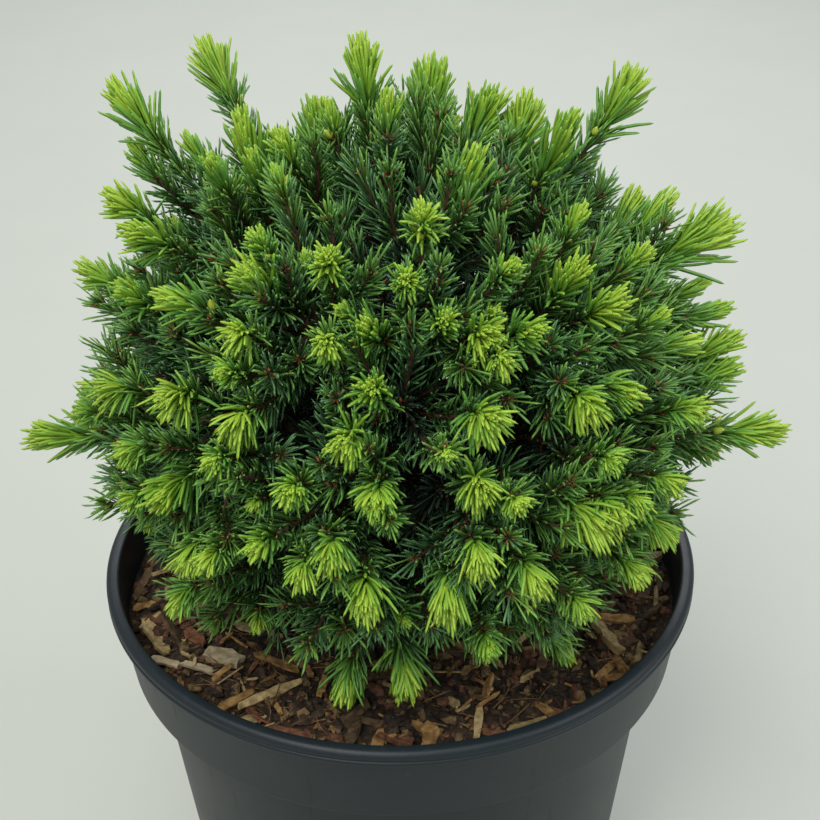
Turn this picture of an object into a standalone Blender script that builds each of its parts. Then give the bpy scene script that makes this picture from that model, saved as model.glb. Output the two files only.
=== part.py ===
"""A potted dwarf white spruce, in metres, with +Z up, its origin in the middle of the pot's flat underside.

The plant is a low globe of short shoots. A short trunk stands in the potting mix and runs up inside the
crown. Boughs leave it at rising heights, and each bough carries one mass of foliage: a stem that goes on
from the bough's tip, a brush of needles round that stem, and shoots that fork from it. Each mass keeps to
its own space, between it and its neighbours.
"""

import math
import random
from collections import namedtuple

import bmesh
import bpy
from mathutils import Matrix, Vector

COLLECTION_NAME = "potted_dwarf_white_spruce"
GAP = 0.0003  # clear space between solids that touch in life
SMOOTH_BELOW = math.radians(40.0)  # edges that bend less than this are shaded smooth

# Pot, turned about Z
POT_HEIGHT = 0.150
LIP_RADIUS = 0.095
LIP_HEIGHT = 0.005
LIP_WIDTH = 0.0042
LIP_OVERHANG = 0.0023
LIP_ROLL_TURNS = (135.0, 75.0, 15.0)  # degrees round the lip's roll, from inside to outside
COLLAR_DEPTH = 0.0296  # from the top of the lip down to the step
COLLAR_TAPER = 0.0030
STEP_WIDTH = 0.0069
WALL_TAPER = 0.102  # metres of radius lost for each metre down
WALL_THICKNESS = 0.0016
FLOOR_THICKNESS = 0.0025
ROUND_STEPS = 32  # straight sides that stand for a full turn of the pot and of the mix in it
DRAIN_HOLES = 8
DRAIN_RADIUS = 0.005
DRAIN_CIRCLE_RADIUS = 0.052

# Potting mix
MIX_LEVEL = 0.139
MIX_ROUGHNESS = 0.0016
MIX_RINGS = (0.018, 0.044, 0.068)
CHIP_COUNT = 18
CHIP_SIZE = (0.014, 0.005, 0.0022)
CHIP_SCALES = (0.6, 1.25)
CHIP_RISE = 0.0012  # from the mix's level to a chip's middle
CHIP_TILT = 0.25  # radians either way
CHIP_EDGE_ROOM = 0.012  # between the furthest chip's middle and the edge of the mix
CHIP_NEAREST = 0.1  # share of the mix's area round the trunk that has no chips

# Trunk
TRUNK_TOP = 0.236
TRUNK_FOOT_RADIUS = 0.0065
TRUNK_TIP_RADIUS = 0.0020
ROOT_FLARE = 0.0035
FLARE_HEIGHT = 0.006
FLARE_RINGS = (0.0, 0.6, 1.6)  # heights of the lowest rings, in flare heights
TRUNK_LEAN = Vector((0.0030, 0.0015, 0.0))  # how far the tip stands from above the foot
TRUNK_POINTS = 9

# Crown: a globe about the hub. Headings are in degrees round Z, 0 to the front and 90 to the right,
# rises in degrees above level, and reaches in metres from the hub to the furthest needle.
HUB = Vector((0.0, 0.0, 0.200))
CROWN_REACH = 0.104
LOW_REACH = 0.082
LOWEST_RISE = -38.0
TOP_NAME = "crown_top"  # the mass that the trunk itself carries
Leader = namedtuple("Leader", "name heading rise reach")
LEADERS = (
    Leader(TOP_NAME, -141.0, 83.5, 0.116),
    Leader("tall_left", -136.0, 50.0, 0.130),
    Leader("upper_left", -103.0, 50.6, 0.129),
    Leader("front_left_top", -31.0, 50.0, 0.108),
    Leader("front_top", 30.0, 71.0, 0.107),
    Leader("front_crest", 12.0, 54.0, 0.107),
    Leader("right_top", 52.0, 43.0, 0.107),
    Leader("tall_right", 110.0, 54.6, 0.124),
    Leader("back_top", 166.0, 60.0, 0.110),
    Leader("front_upper", 2.0, 34.0, 0.106),
    Leader("left_upper", -84.0, 28.0, 0.107),
    Leader("far_left", -77.0, 5.5, 0.113),
    Leader("front_left", -48.0, 20.0, 0.106),
    Leader("front_middle", -14.0, 11.0, 0.103),
    Leader("front_right", 18.0, 11.0, 0.103),
    Leader("right_front", 45.0, 15.0, 0.104),
    Leader("far_right", 76.0, 4.5, 0.118),
    Leader("right_upper", 95.0, 34.0, 0.116),
    Leader("back_right", 132.0, 21.0, 0.109),
    Leader("back_middle", 172.0, 25.0, 0.108),
    Leader("back_left", -146.0, 18.0, 0.110),
    Leader("low_front_left", -40.0, -19.0, 0.094),
    Leader("low_front", -4.0, -23.0, 0.095),
    Leader("low_front_right", 30.0, -19.0, 0.095),
    Leader("low_right", 104.0, -17.0, 0.097),
    Leader("low_back_right", 143.0, -19.0, 0.096),
    Leader("low_back", -177.0, -19.0, 0.096),
    Leader("low_back_left", -138.0, -19.0, 0.096),
    Leader("low_left", -104.0, -17.0, 0.097),
)

# Boughs and stems
ENTRY_REACH = 0.046  # from the hub to where a bough ends and its mass begins
STEM_REACH = 0.072
SPACE_REACH = 0.080  # from the hub to the middle of each mass's own space
BOUGH_FOOT_HEIGHTS = (0.158, 0.225)
BOUGH_START_RISE = 0.4  # share of the way's whole rise that a bough leaves the trunk with
BOUGH_BEND = 0.5  # share of the way at which a bough's curve is pulled up
BOUGH_RADII = (0.0018, 0.0013)
FOOT_ROOM = 0.0002  # more than the gap, because a bough's foot is cut square and the trunk is round
STEM_START = 0.0015  # length of stem that runs straight on from its bough
STEM_TIP_RADIUS = 0.0010
LIMB_POINTS = 4
TRUNK_SIDES = 2  # rings of a curve's bevel, which give it 8 sides
BOUGH_SIDES = 1
STEM_SIDES = 0

# Shoots
SHOOTS_PER_MASS = 6
SHOOT_TRIES = 600
SHOOT_SPACING = 0.0185
SHOOT_SPREAD = 44.0  # degrees from the leader that its side shoots may stand
SHOOT_REACH_SHARES = (0.90, 1.0)
SHOOT_UPTURN = 0.32
SHOOT_ROOTS = (0.056, 0.068)  # reach on the stem that side shoots leave it at
ROOT_OFFSET = 0.0006  # from the stem's own middle to a shoot's
BRUSH_LENGTH = 0.0280
TIP_MARGIN = 0.0034  # from a shoot's tip or bend to the side of its mass's space
SPACE_MARGIN = 0.0006  # from a needle's point to the same
LIMB_ROOM = 0.0030
SHOOT_ROOM = 0.0062  # from a needle's point to any other shoot of its mass
TWIG_ROOM = 0.0038  # and to its bare foot

# Needles, each drawn out of one face of a slim core
Brush = namedtuple("Brush", "sides rings radii stand forward")
SIDE_SHOOT = Brush(sides=3, rings=3, radii=(0.0018, 0.0012), stand=0.0074, forward=0.0066)
LEADING_SHOOT = Brush(sides=3, rings=4, radii=(0.0019, 0.0013), stand=0.0072, forward=0.0064)
STEM_BRUSH = Brush(sides=5, rings=3, radii=(0.0070, 0.0092), stand=0.0125, forward=0.0065)
STEM_BRUSH_REACHES = (0.0500, 0.0760)
RING_TWIST = math.radians(38.0)  # between one ring of needles and the next
END_NEEDLE = 0.0060
NEEDLE_SHARES = (1.0, 0.7, 0.45)  # of its full length, tried until a needle has room
CAP_SLANT = 0.9  # a face whose normal lies this close to its core's axis is a cap

Look = namedtuple("Look", "colour roughness")
POT_LOOK = Look((0.030, 0.034, 0.036), 0.45)
MIX_LOOK = Look((0.100, 0.062, 0.036), 0.95)
BARK_LOOK = Look((0.130, 0.075, 0.042), 0.85)
NEEDLE_LOOK = Look((0.150, 0.300, 0.050), 0.60)


def clear_scene():
    """Remove every object that the scene starts with."""
    for item in list(bpy.data.objects):
        bpy.data.objects.remove(item, do_unlink=True)


def new_collection(name):
    """Make a collection in the scene."""
    collection = bpy.data.collections.new(name)
    bpy.context.scene.collection.children.link(collection)
    return collection


def finish(item, look):
    """Give an object a material of its own."""
    material = bpy.data.materials.new(f"{item.name}_finish")
    material.use_nodes = True
    shader = material.node_tree.nodes["Principled BSDF"]
    shader.inputs["Base Color"].default_value = (*look.colour, 1.0)
    shader.inputs["Roughness"].default_value = look.roughness
    shader.inputs["Metallic"].default_value = 0.0
    item.data.materials.clear()
    item.data.materials.append(material)


def object_from_bmesh(name, shape, collection):
    """Turn a bmesh into an object in a collection."""
    mesh = bpy.data.meshes.new(name)
    shape.to_mesh(mesh)
    shape.free()
    item = bpy.data.objects.new(name, mesh)
    collection.objects.link(item)
    return item


def evaluated_copy(item, collection):
    """Replace an object by a mesh of what its curve or modifiers make, with loose caps welded."""
    bpy.context.view_layer.update()
    mesh = bpy.data.meshes.new_from_object(item.evaluated_get(bpy.context.evaluated_depsgraph_get()))
    name = item.name
    place = item.matrix_world.copy()
    bpy.data.objects.remove(item, do_unlink=True)
    shape = bmesh.new()
    shape.from_mesh(mesh)
    bmesh.ops.remove_doubles(shape, verts=shape.verts, dist=0.000001)
    bmesh.ops.recalc_face_normals(shape, faces=shape.faces)
    bpy.data.meshes.remove(mesh)
    copy = object_from_bmesh(name, shape, collection)
    copy.matrix_world = place
    return copy


def shade_round(item):
    """Shade a round piece smooth, with its true corners kept sharp."""
    item.data.shade_smooth()
    item.data.set_sharp_from_angle(angle=SMOOTH_BELOW)


def shells_of(shape):
    """The separate closed shells of a bmesh, each as a set of faces."""
    waiting = set(shape.faces)
    shells = []
    while waiting:
        shell = set()
        front = [waiting.pop()]
        while front:
            face = front.pop()
            shell.add(face)
            neighbours = {other for edge in face.edges for other in edge.link_faces} & waiting
            waiting -= neighbours
            front.extend(neighbours)
        shells.append(shell)
    return shells


def keep_main_shell(item):
    """Fill sealed hollows and drop loose scraps, by keeping only the shell with the most faces."""
    shape = bmesh.new()
    shape.from_mesh(item.data)
    shells = sorted(shells_of(shape), key=len)
    spare = [face for shell in shells[:-1] for face in shell]
    bmesh.ops.delete(shape, geom=spare, context="FACES")
    shape.to_mesh(item.data)
    shape.free()


def fuse(base, parts, solver, collection):
    """Join a base object and a collection of parts by one Boolean union, then remove the parts."""
    union = base.modifiers.new("fuse", "BOOLEAN")
    union.operation = "UNION"
    union.operand_type = "COLLECTION"
    union.collection = parts
    union.solver = solver
    fused = evaluated_copy(base, collection)
    for item in list(parts.objects):
        bpy.data.objects.remove(item, do_unlink=True)
    bpy.data.collections.remove(parts)
    keep_main_shell(fused)
    return fused


def direction(heading, rise):
    """Unit vector of a heading round Z and a rise above level, both in degrees."""
    around, above = math.radians(heading), math.radians(rise)
    level = math.cos(above)
    return Vector((math.sin(around) * level, -math.cos(around) * level, math.sin(above)))


def turned_object(name, outline, collection):
    """Turn an open outline of (radius, height) points about Z with a Screw modifier."""
    shape = bmesh.new()
    points = [shape.verts.new((radius, 0.0, height)) for radius, height in outline]
    for first, second in zip(points, points[1:]):
        shape.edges.new((first, second))
    item = object_from_bmesh(name, shape, collection)
    screw = item.modifiers.new("turn", "SCREW")
    screw.axis = "Z"
    screw.angle = math.tau
    screw.steps = ROUND_STEPS
    screw.render_steps = ROUND_STEPS
    screw.use_merge_vertices = True
    screw.merge_threshold = 0.00005
    return evaluated_copy(item, collection)


def inner_wall_outline(inset):
    """Inside of the pot from the floor's edge up to the lip, moved inwards by an inset."""
    step_height = POT_HEIGHT - COLLAR_DEPTH
    collar_foot = LIP_RADIUS - LIP_OVERHANG - COLLAR_TAPER
    wall_top = collar_foot - STEP_WIDTH
    wall_foot = wall_top - WALL_TAPER * step_height
    ledge = step_height + WALL_THICKNESS + inset
    return (
        (wall_foot - WALL_THICKNESS - inset, FLOOR_THICKNESS + inset),
        (wall_top - WALL_THICKNESS - inset, ledge),
        (collar_foot - WALL_THICKNESS - inset, ledge),
        (LIP_RADIUS - LIP_WIDTH - inset, POT_HEIGHT - LIP_HEIGHT / 2),
    )


def pot_outline():
    """Outline of the pot's wall, from the middle of its floor up the inside and down the outside."""
    step_height = POT_HEIGHT - COLLAR_DEPTH
    collar_top = LIP_RADIUS - LIP_OVERHANG
    collar_foot = collar_top - COLLAR_TAPER
    wall_top = collar_foot - STEP_WIDTH
    wall_foot = wall_top - WALL_TAPER * step_height
    roll = LIP_WIDTH / 2
    outline = [(0.0, FLOOR_THICKNESS)]
    outline += inner_wall_outline(0.0)
    for turn in LIP_ROLL_TURNS:
        angle = math.radians(turn)
        radius = LIP_RADIUS - roll + roll * math.cos(angle)
        outline.append((radius, POT_HEIGHT - roll + roll * math.sin(angle)))
    outline += [
        (LIP_RADIUS, POT_HEIGHT - LIP_HEIGHT),
        (collar_top, POT_HEIGHT - LIP_HEIGHT),
        (collar_foot, step_height + WALL_THICKNESS / 2),
        (collar_foot - WALL_THICKNESS / 2, step_height),
        (wall_top, step_height),
        (wall_foot, 0.0),
        (0.0, 0.0),
    ]
    return outline


def make_pot(collection, cutters):
    """Round pot with a rolled lip, a tapered collar, a step, a tapered wall and drain holes."""
    pot = turned_object("pot", pot_outline(), collection)
    shade_round(pot)
    drill = bmesh.new()
    for hole in range(DRAIN_HOLES):
        spot = direction(360.0 * hole / DRAIN_HOLES, 0.0) * DRAIN_CIRCLE_RADIUS
        bmesh.ops.create_cone(
            drill,
            cap_ends=True,
            segments=8,
            radius1=DRAIN_RADIUS,
            radius2=DRAIN_RADIUS,
            depth=FLOOR_THICKNESS * 4,
            matrix=Matrix.Translation(spot),
        )
    cutter = object_from_bmesh("drain_hole_cutter", drill, cutters)
    cutter.hide_render = True
    cutter.display_type = "WIRE"
    holes = pot.modifiers.new("drain_holes", "BOOLEAN")
    holes.operation = "DIFFERENCE"
    holes.object = cutter
    holes.solver = "EXACT"
    finish(pot, POT_LOOK)


def mix_edge_radius():
    """Radius of the mix where its surface meets the pot's collar."""
    _, _, ledge, lip = inner_wall_outline(GAP)
    share = (MIX_LEVEL - ledge[1]) / (lip[1] - ledge[1])
    return ledge[0] + (lip[0] - ledge[0]) * share


def make_chip(number, edge_radius, rng, chips):
    """One sliver of bark that lies half sunk in the mix."""
    heading = rng.uniform(0.0, 360.0)
    reach = (edge_radius - CHIP_EDGE_ROOM) * math.sqrt(rng.uniform(CHIP_NEAREST, 1.0))
    scale = rng.uniform(*CHIP_SCALES)
    turn = Matrix.Rotation(rng.uniform(0.0, math.pi), 4, "Z")
    tilt = Matrix.Rotation(rng.uniform(-CHIP_TILT, CHIP_TILT), 4, "X")
    place = Matrix.Translation(direction(heading, 0.0) * reach + Vector((0.0, 0.0, MIX_LEVEL + CHIP_RISE)))
    shape = bmesh.new()
    bmesh.ops.create_cube(shape, size=1.0)
    bmesh.ops.scale(shape, vec=Vector(CHIP_SIZE) * scale, verts=shape.verts)
    bmesh.ops.transform(shape, matrix=place @ turn @ tilt, verts=shape.verts)
    object_from_bmesh(f"chip_{number}", shape, chips)


def make_mix(collection):
    """Potting mix that fills the pot, with a crumbly top and bark chips fused to it."""
    rng = random.Random(11)
    foot, ledge_inner, ledge_outer, _ = inner_wall_outline(GAP)
    edge_radius = mix_edge_radius()
    outline = [(0.0, MIX_LEVEL)]
    outline += [(radius, MIX_LEVEL) for radius in MIX_RINGS]
    outline += [(edge_radius, MIX_LEVEL), ledge_outer, ledge_inner, foot, (0.0, foot[1])]
    mix = turned_object("potting_mix", outline, collection)
    inner, outer = MIX_RINGS[0] * 1.1, edge_radius * 0.99
    for corner in mix.data.vertices:
        on_top = corner.co.z > ledge_outer[1] + GAP
        if on_top and inner < math.hypot(corner.co.x, corner.co.y) < outer:
            corner.co.z += rng.uniform(-MIX_ROUGHNESS, MIX_ROUGHNESS)
    chips = new_collection("bark_chips")
    for number in range(CHIP_COUNT):
        make_chip(number, edge_radius, rng, chips)
    finish(fuse(mix, chips, "EXACT", collection), MIX_LOOK)


def trunk_axis(height):
    """Middle of the trunk at a height."""
    share = (height - MIX_LEVEL) / (TRUNK_TOP - MIX_LEVEL)
    return Vector((0.0, 0.0, height)) + TRUNK_LEAN * share * share


def trunk_radius(height):
    """Radius of the trunk at a height, with the flare at its foot."""
    share = (height - MIX_LEVEL) / (TRUNK_TOP - MIX_LEVEL)
    taper = TRUNK_FOOT_RADIUS + (TRUNK_TIP_RADIUS - TRUNK_FOOT_RADIUS) * share
    return taper + ROOT_FLARE * math.exp(-(height - MIX_LEVEL) / FLARE_HEIGHT)


def limb(name, points, radii, bevel_resolution, collection):
    """Round tapering limb: a curve with a radius at each point and filled caps, made a mesh."""
    data = bpy.data.curves.new(name, "CURVE")
    data.dimensions = "3D"
    data.bevel_depth = 1.0
    data.bevel_resolution = bevel_resolution
    data.use_fill_caps = True
    spline = data.splines.new("POLY")
    spline.points.add(len(points) - 1)
    for knot, point, radius in zip(spline.points, points, radii):
        knot.co = (*point, 1.0)
        knot.radius = radius
    item = bpy.data.objects.new(name, data)
    collection.objects.link(item)
    return evaluated_copy(item, collection)


def make_trunk(collection):
    """Short trunk from its flat cut on the potting mix up to the stem of the crown's top."""
    foot = MIX_LEVEL + GAP
    heights = [foot + FLARE_HEIGHT * ring for ring in FLARE_RINGS]
    rest = TRUNK_POINTS - len(heights)
    last = heights[-1]
    heights += [last + (TRUNK_TOP - last) * (step + 1) / rest for step in range(rest)]
    points = [trunk_axis(height) for height in heights]
    points[0] = Vector((points[1].x, points[1].y, foot))
    trunk = limb("trunk", points, [trunk_radius(height) for height in heights], TRUNK_SIDES, collection)
    shade_round(trunk)
    finish(trunk, BARK_LOOK)


def bough_foot_heights():
    """Height on the trunk of each leader's bough, spread evenly in the order of the leaders' rises."""
    order = sorted((leader.rise, leader.name) for leader in LEADERS if leader.name != TOP_NAME)
    low, high = BOUGH_FOOT_HEIGHTS
    return {name: low + (high - low) * place / (len(order) - 1) for place, (_, name) in enumerate(order)}


def bough_controls(leader, foot_height):
    """Start, bend and end of a bough's curve, from the trunk's side to where its mass begins."""
    entry = HUB + direction(leader.heading, leader.rise) * ENTRY_REACH
    middle = trunk_axis(foot_height)
    chord = entry - middle
    start_rise = BOUGH_START_RISE * math.degrees(math.atan2(chord.z, math.hypot(chord.x, chord.y)))
    leave = direction(leader.heading, start_rise)
    clear = trunk_radius(foot_height) + GAP + BOUGH_RADII[0] * abs(leave.z) + FOOT_ROOM
    start = middle + direction(leader.heading, 0.0) * clear
    return start, start + leave * (entry - start).length * BOUGH_BEND, entry


def all_controls():
    """Control points of every bough, and the trunk's tip in their place for the crown's top."""
    heights = bough_foot_heights()
    controls = {TOP_NAME: (trunk_axis(TRUNK_TOP),) * 3}
    for leader in LEADERS:
        if leader.name != TOP_NAME:
            controls[leader.name] = bough_controls(leader, heights[leader.name])
    return controls


def on_curve(controls, share):
    """Point of a quadratic curve."""
    start, bend, end = controls
    return start * (1 - share) ** 2 + bend * 2 * share * (1 - share) + end * share * share


def bough_points(controls):
    """Points evenly along a bough."""
    return [on_curve(controls, step / (LIMB_POINTS - 1)) for step in range(LIMB_POINTS)]


def tapering(wide, slim):
    """Radius at each of a limb's points."""
    return [wide + (slim - wide) * step / (LIMB_POINTS - 1) for step in range(LIMB_POINTS)]


def make_bough(name, controls, collection):
    """One tapering limb from the trunk to where it enters its mass."""
    bough = limb(f"bough_{name}", bough_points(controls), tapering(*BOUGH_RADII), BOUGH_SIDES, collection)
    shade_round(bough)
    finish(bough, BARK_LOOK)


def room_in_space(point, own, centres):
    """How far a point stands inside its mass's own space, between it and its neighbours."""
    home = centres[own]
    others = [centre for name, centre in centres.items() if name != own]
    return min(((home + centre) / 2 - point).dot((centre - home).normalized()) for centre in others)


def crown_reach(rise):
    """How far ordinary shoots reach at a rise."""
    share = min(1.0, max(0.0, rise / LOWEST_RISE))
    return CROWN_REACH + (LOW_REACH - CROWN_REACH) * share


def brush_length(rise):
    """Length of the needled part of a shoot, less where the crown reaches less far."""
    return BRUSH_LENGTH * crown_reach(rise) / CROWN_REACH


def upturned(outward):
    """Heading of a shoot's brush, which turns up a little from straight outwards."""
    return (outward + Vector((0.0, 0.0, SHOOT_UPTURN))).normalized()


def stem_reach(reach, rise):
    """Reach of a place on a mass's stem, drawn in where the crown itself reaches less far."""
    room = (crown_reach(rise) - brush_length(rise) - ENTRY_REACH) / (CROWN_REACH - BRUSH_LENGTH - ENTRY_REACH)
    return ENTRY_REACH + (reach - ENTRY_REACH) * room


def shoot_curves(leader, centres, rng):
    """Foot, bend and tip of each shoot in a mass: the leader's, then side shoots that have room."""
    axis = direction(leader.heading, leader.rise)
    sideways = axis.orthogonal().normalized()
    root = HUB + axis * stem_reach(SHOOT_ROOTS[1], leader.rise) + sideways * ROOT_OFFSET
    tip = HUB + axis * leader.reach
    curves = [(root, tip - upturned(axis) * brush_length(leader.rise), tip)]
    for _ in range(SHOOT_TRIES):
        lean = math.radians(SHOOT_SPREAD) * math.sqrt(rng.random())
        turn = rng.uniform(0.0, math.tau)
        share = rng.uniform(*SHOOT_REACH_SHARES)
        side = Matrix.Rotation(turn, 3, axis) @ sideways
        root = HUB + axis * stem_reach(rng.uniform(*SHOOT_ROOTS), leader.rise) + side * ROOT_OFFSET
        outward = (axis * math.cos(lean) + side * math.sin(lean)).normalized()
        above = math.degrees(math.asin(outward.z))
        tip = HUB + outward * crown_reach(above) * share
        base = tip - upturned(outward) * brush_length(above)
        room = min(room_in_space(tip, leader.name, centres), room_in_space(base, leader.name, centres))
        spaced = all((tip - other[2]).length > SHOOT_SPACING for other in curves)
        if len(curves) < SHOOTS_PER_MASS and above > LOWEST_RISE and room > TIP_MARGIN and spaced:
            curves.append((root, base, tip))
    return curves


def distance_to_line(point, start, end):
    """Distance from a point to a straight stretch."""
    along = end - start
    share = min(1.0, max(0.0, (point - start).dot(along) / along.length_squared))
    return (point - start - along * share).length


def clear_of_shoots(point, shoots, own):
    """Whether a needle's point keeps its distance from every other shoot of its mass."""
    for number, (root, base, tip) in enumerate(shoots):
        if number != own and distance_to_line(point, base, tip) < SHOOT_ROOM:
            return False
        if number != own and distance_to_line(point, root, base) < TWIG_ROOM:
            return False
    return True


def clear_of_limbs(point, own, controls):
    """Whether a point keeps its distance from the trunk and the boughs, and stands ahead of its own bough."""
    if math.hypot(point.x, point.y) < trunk_radius(MIX_LEVEL) and point.z < TRUNK_TOP + LIMB_ROOM:
        return False
    entry = controls[own][2]
    if (point - entry).dot((entry - HUB).normalized()) < LIMB_ROOM:
        return False
    others = [curve for name, curve in controls.items() if name not in (own, TOP_NAME)]
    return all((point - spot).length > LIMB_ROOM for curve in others for spot in bough_points(curve))


def core_along(curve, bare_rings, brush, spin):
    """Slim core along a curve, from its foot through its bend to just short of its tip, as a bmesh."""
    root, base, tip = curve
    end = tip - (tip - base).normalized() * END_NEEDLE
    rings = brush.rings + bare_rings
    wide, slim = brush.radii
    shape = bmesh.new()
    bmesh.ops.create_cone(shape, cap_ends=True, segments=brush.sides, radius1=wide, radius2=slim, depth=rings)
    long_edges = [edge for edge in shape.edges if edge.verts[0].co.z * edge.verts[1].co.z < 0.0]
    bmesh.ops.subdivide_edges(shape, edges=long_edges, cuts=rings - 1)
    for corner in shape.verts:
        ring = round(corner.co.z + rings / 2)
        in_foot = ring < bare_rings
        level = root if in_foot else base + (end - base) * (ring - bare_rings) / brush.rings
        along = base - root if in_foot else end - base
        spoke = Matrix.Rotation(spin + RING_TWIST * ring, 3, "Z") @ Vector((corner.co.x, corner.co.y, 0.0))
        corner.co = level + along.to_track_quat("Z", "Y") @ spoke
    shape.normal_update()
    return shape


def make_brush(name, curve, bare_rings, brush, has_room, spin, collection):
    """Core along a curve with a needle drawn out of each face past the bend, where the needle has room."""
    base, tip = curve[1:]
    axis = (tip - base).normalized()
    shape = core_along(curve, bare_rings, brush, spin)
    for face in list(shape.faces):
        middle = face.calc_center_median()
        slant = face.normal.dot(axis)
        if slant > CAP_SLANT:
            bmesh.ops.poke(shape, faces=[face])["verts"][0].co = tip
            continue
        if slant < -CAP_SLANT or bare_rings and (middle - base).dot(axis) < 0.0:
            continue
        needle = face.normal * brush.stand + axis * brush.forward
        for share in NEEDLE_SHARES:
            if has_room(middle + needle * share):
                bmesh.ops.poke(shape, faces=[face])["verts"][0].co = middle + needle * share
                break
    return object_from_bmesh(name, shape, collection)


def make_stem(leader, controls, collection):
    """Stem of a mass, which goes on from its bough's tip or the trunk's and then turns straight outwards."""
    outward = direction(leader.heading, leader.rise)
    entry = controls[leader.name][2]
    arriving = Vector((0.0, 0.0, 1.0))
    if leader.name != TOP_NAME:
        arriving = (entry - bough_points(controls[leader.name])[-2]).normalized()
    start = entry + arriving * GAP
    reach = stem_reach(STEM_REACH, leader.rise)
    points = [start, start + arriving * STEM_START]
    points += [HUB + outward * (ENTRY_REACH + reach) / 2, HUB + outward * reach]
    radii = tapering(BOUGH_RADII[1], STEM_TIP_RADIUS)
    return limb(f"needles_{leader.name}", points, radii, STEM_SIDES, collection)


def make_mass(leader, controls, centres, collection):
    """One mass of foliage in its own space: a stem, the brush of needles round it, and shoots, fused."""
    name = leader.name
    rng = random.Random(f"mass {name}")
    parts = new_collection(f"parts_{name}")
    stem = make_stem(leader, controls, collection)
    shoots = shoot_curves(leader, centres, rng)

    def room_for(own):
        """Test of a needle's point for one shoot of the mass, or for its stem."""

        def has_room(point):
            in_space = room_in_space(point, name, centres) >= SPACE_MARGIN
            return in_space and clear_of_limbs(point, name, controls) and clear_of_shoots(point, shoots, own)

        return has_room

    outward = direction(leader.heading, leader.rise)
    first, last = (stem_reach(reach, leader.rise) for reach in STEM_BRUSH_REACHES)
    foot = HUB + outward * first - outward.orthogonal() * ROOT_OFFSET
    heart = (foot, foot, HUB + outward * last)
    make_brush("stem_brush", heart, 0, STEM_BRUSH, room_for(None), 0.0, parts)
    for number, curve in enumerate(shoots):
        brush = SIDE_SHOOT if number else LEADING_SHOOT
        spin = rng.uniform(0.0, math.tau)
        make_brush(f"shoot_{number}", curve, 1, brush, room_for(number), spin, parts)
    finish(fuse(stem, parts, "MANIFOLD", collection), NEEDLE_LOOK)


def build():
    """Make every part of the potted plant."""
    clear_scene()
    collection = new_collection(COLLECTION_NAME)
    cutters = new_collection("cutters")
    make_pot(collection, cutters)
    make_mix(collection)
    make_trunk(collection)
    controls = all_controls()
    centres = {row.name: HUB + direction(row.heading, row.rise) * SPACE_REACH for row in LEADERS}
    for leader in LEADERS:
        if leader.name != TOP_NAME:
            make_bough(leader.name, controls[leader.name], collection)
        make_mass(leader, controls, centres, collection)


build()
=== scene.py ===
"""The looks of a potted dwarf white spruce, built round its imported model, in metres.

The trunk and the boughs get bark with relief. Each mass of foliage grows on from its bough by the same rule
as its solid: a leading shoot and side shoots that have room, each now with finer twigs and mature needles
along it. Tufts of new needles stand at the tips where the photo shows them, and spaced out on its far side.
The pot is turned finer than its solid, and the potting mix gets crumbs, slivers and fibres of bark.
"""

from __future__ import annotations

import sys

import logging
import math
import random
from dataclasses import dataclass, field
from enum import Enum
from typing import Callable, Iterable

import bmesh
import bpy
import numpy as np
from bpy.types import Material, Node, NodeSocket, Object
from mathutils import Matrix, Vector, noise


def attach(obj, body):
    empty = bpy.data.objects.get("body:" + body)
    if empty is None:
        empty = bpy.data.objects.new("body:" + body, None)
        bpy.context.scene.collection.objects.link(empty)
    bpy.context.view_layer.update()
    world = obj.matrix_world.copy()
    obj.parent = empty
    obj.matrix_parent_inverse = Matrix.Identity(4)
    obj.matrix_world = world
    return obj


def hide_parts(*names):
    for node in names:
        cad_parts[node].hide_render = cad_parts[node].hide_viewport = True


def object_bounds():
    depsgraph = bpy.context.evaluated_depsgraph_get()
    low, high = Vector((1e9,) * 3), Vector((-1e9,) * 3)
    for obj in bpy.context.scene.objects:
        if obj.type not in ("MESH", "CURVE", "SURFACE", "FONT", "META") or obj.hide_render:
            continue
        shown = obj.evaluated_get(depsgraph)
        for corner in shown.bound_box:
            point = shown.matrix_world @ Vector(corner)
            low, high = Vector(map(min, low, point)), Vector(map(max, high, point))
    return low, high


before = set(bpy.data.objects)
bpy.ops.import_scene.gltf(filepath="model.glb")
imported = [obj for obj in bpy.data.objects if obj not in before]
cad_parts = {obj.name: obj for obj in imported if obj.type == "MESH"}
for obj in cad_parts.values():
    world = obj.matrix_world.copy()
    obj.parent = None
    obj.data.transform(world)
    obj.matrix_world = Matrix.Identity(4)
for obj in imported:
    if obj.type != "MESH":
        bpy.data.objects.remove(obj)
CAD_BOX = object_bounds()
BODY = "root"
LOG = logging.getLogger("spruce")
PIECE_TRIANGLES = 190_000
GOLDEN_ANGLE = math.radians(137.508)
SAME_PLACE = 0.00001
# How far a path's two inner controls lie on from its root and from its bend.
PATH_LEAVING, PATH_ARRIVING = 0.7, 0.2
# Sockets of the Mix node that have no name of their own.
MIX_FACTOR, FIRST_COLOUR, SECOND_COLOUR, MIXED_COLOUR = 0, 6, 7, 2
Colour = tuple[float, float, float]
Span = tuple[float, float]
Curve = tuple[Vector, Vector, Vector]
Setting = int | float | str | bool


class Slot(str, Enum):
    """Material slots of the record, one of which each finish names."""

    POT = "pot_plastic"
    MIX = "potting_mix"
    BARK = "bark"
    NEEDLES = "needles"


class Flush(Enum):
    """How far the new needles at the end of a shoot have opened."""

    CLOSED = "closed"
    BRUSH = "brush"
    OPENING = "opening"
    FANNED = "fanned"
    DROOPING = "drooping"
    DORMANT = "dormant"


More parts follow.
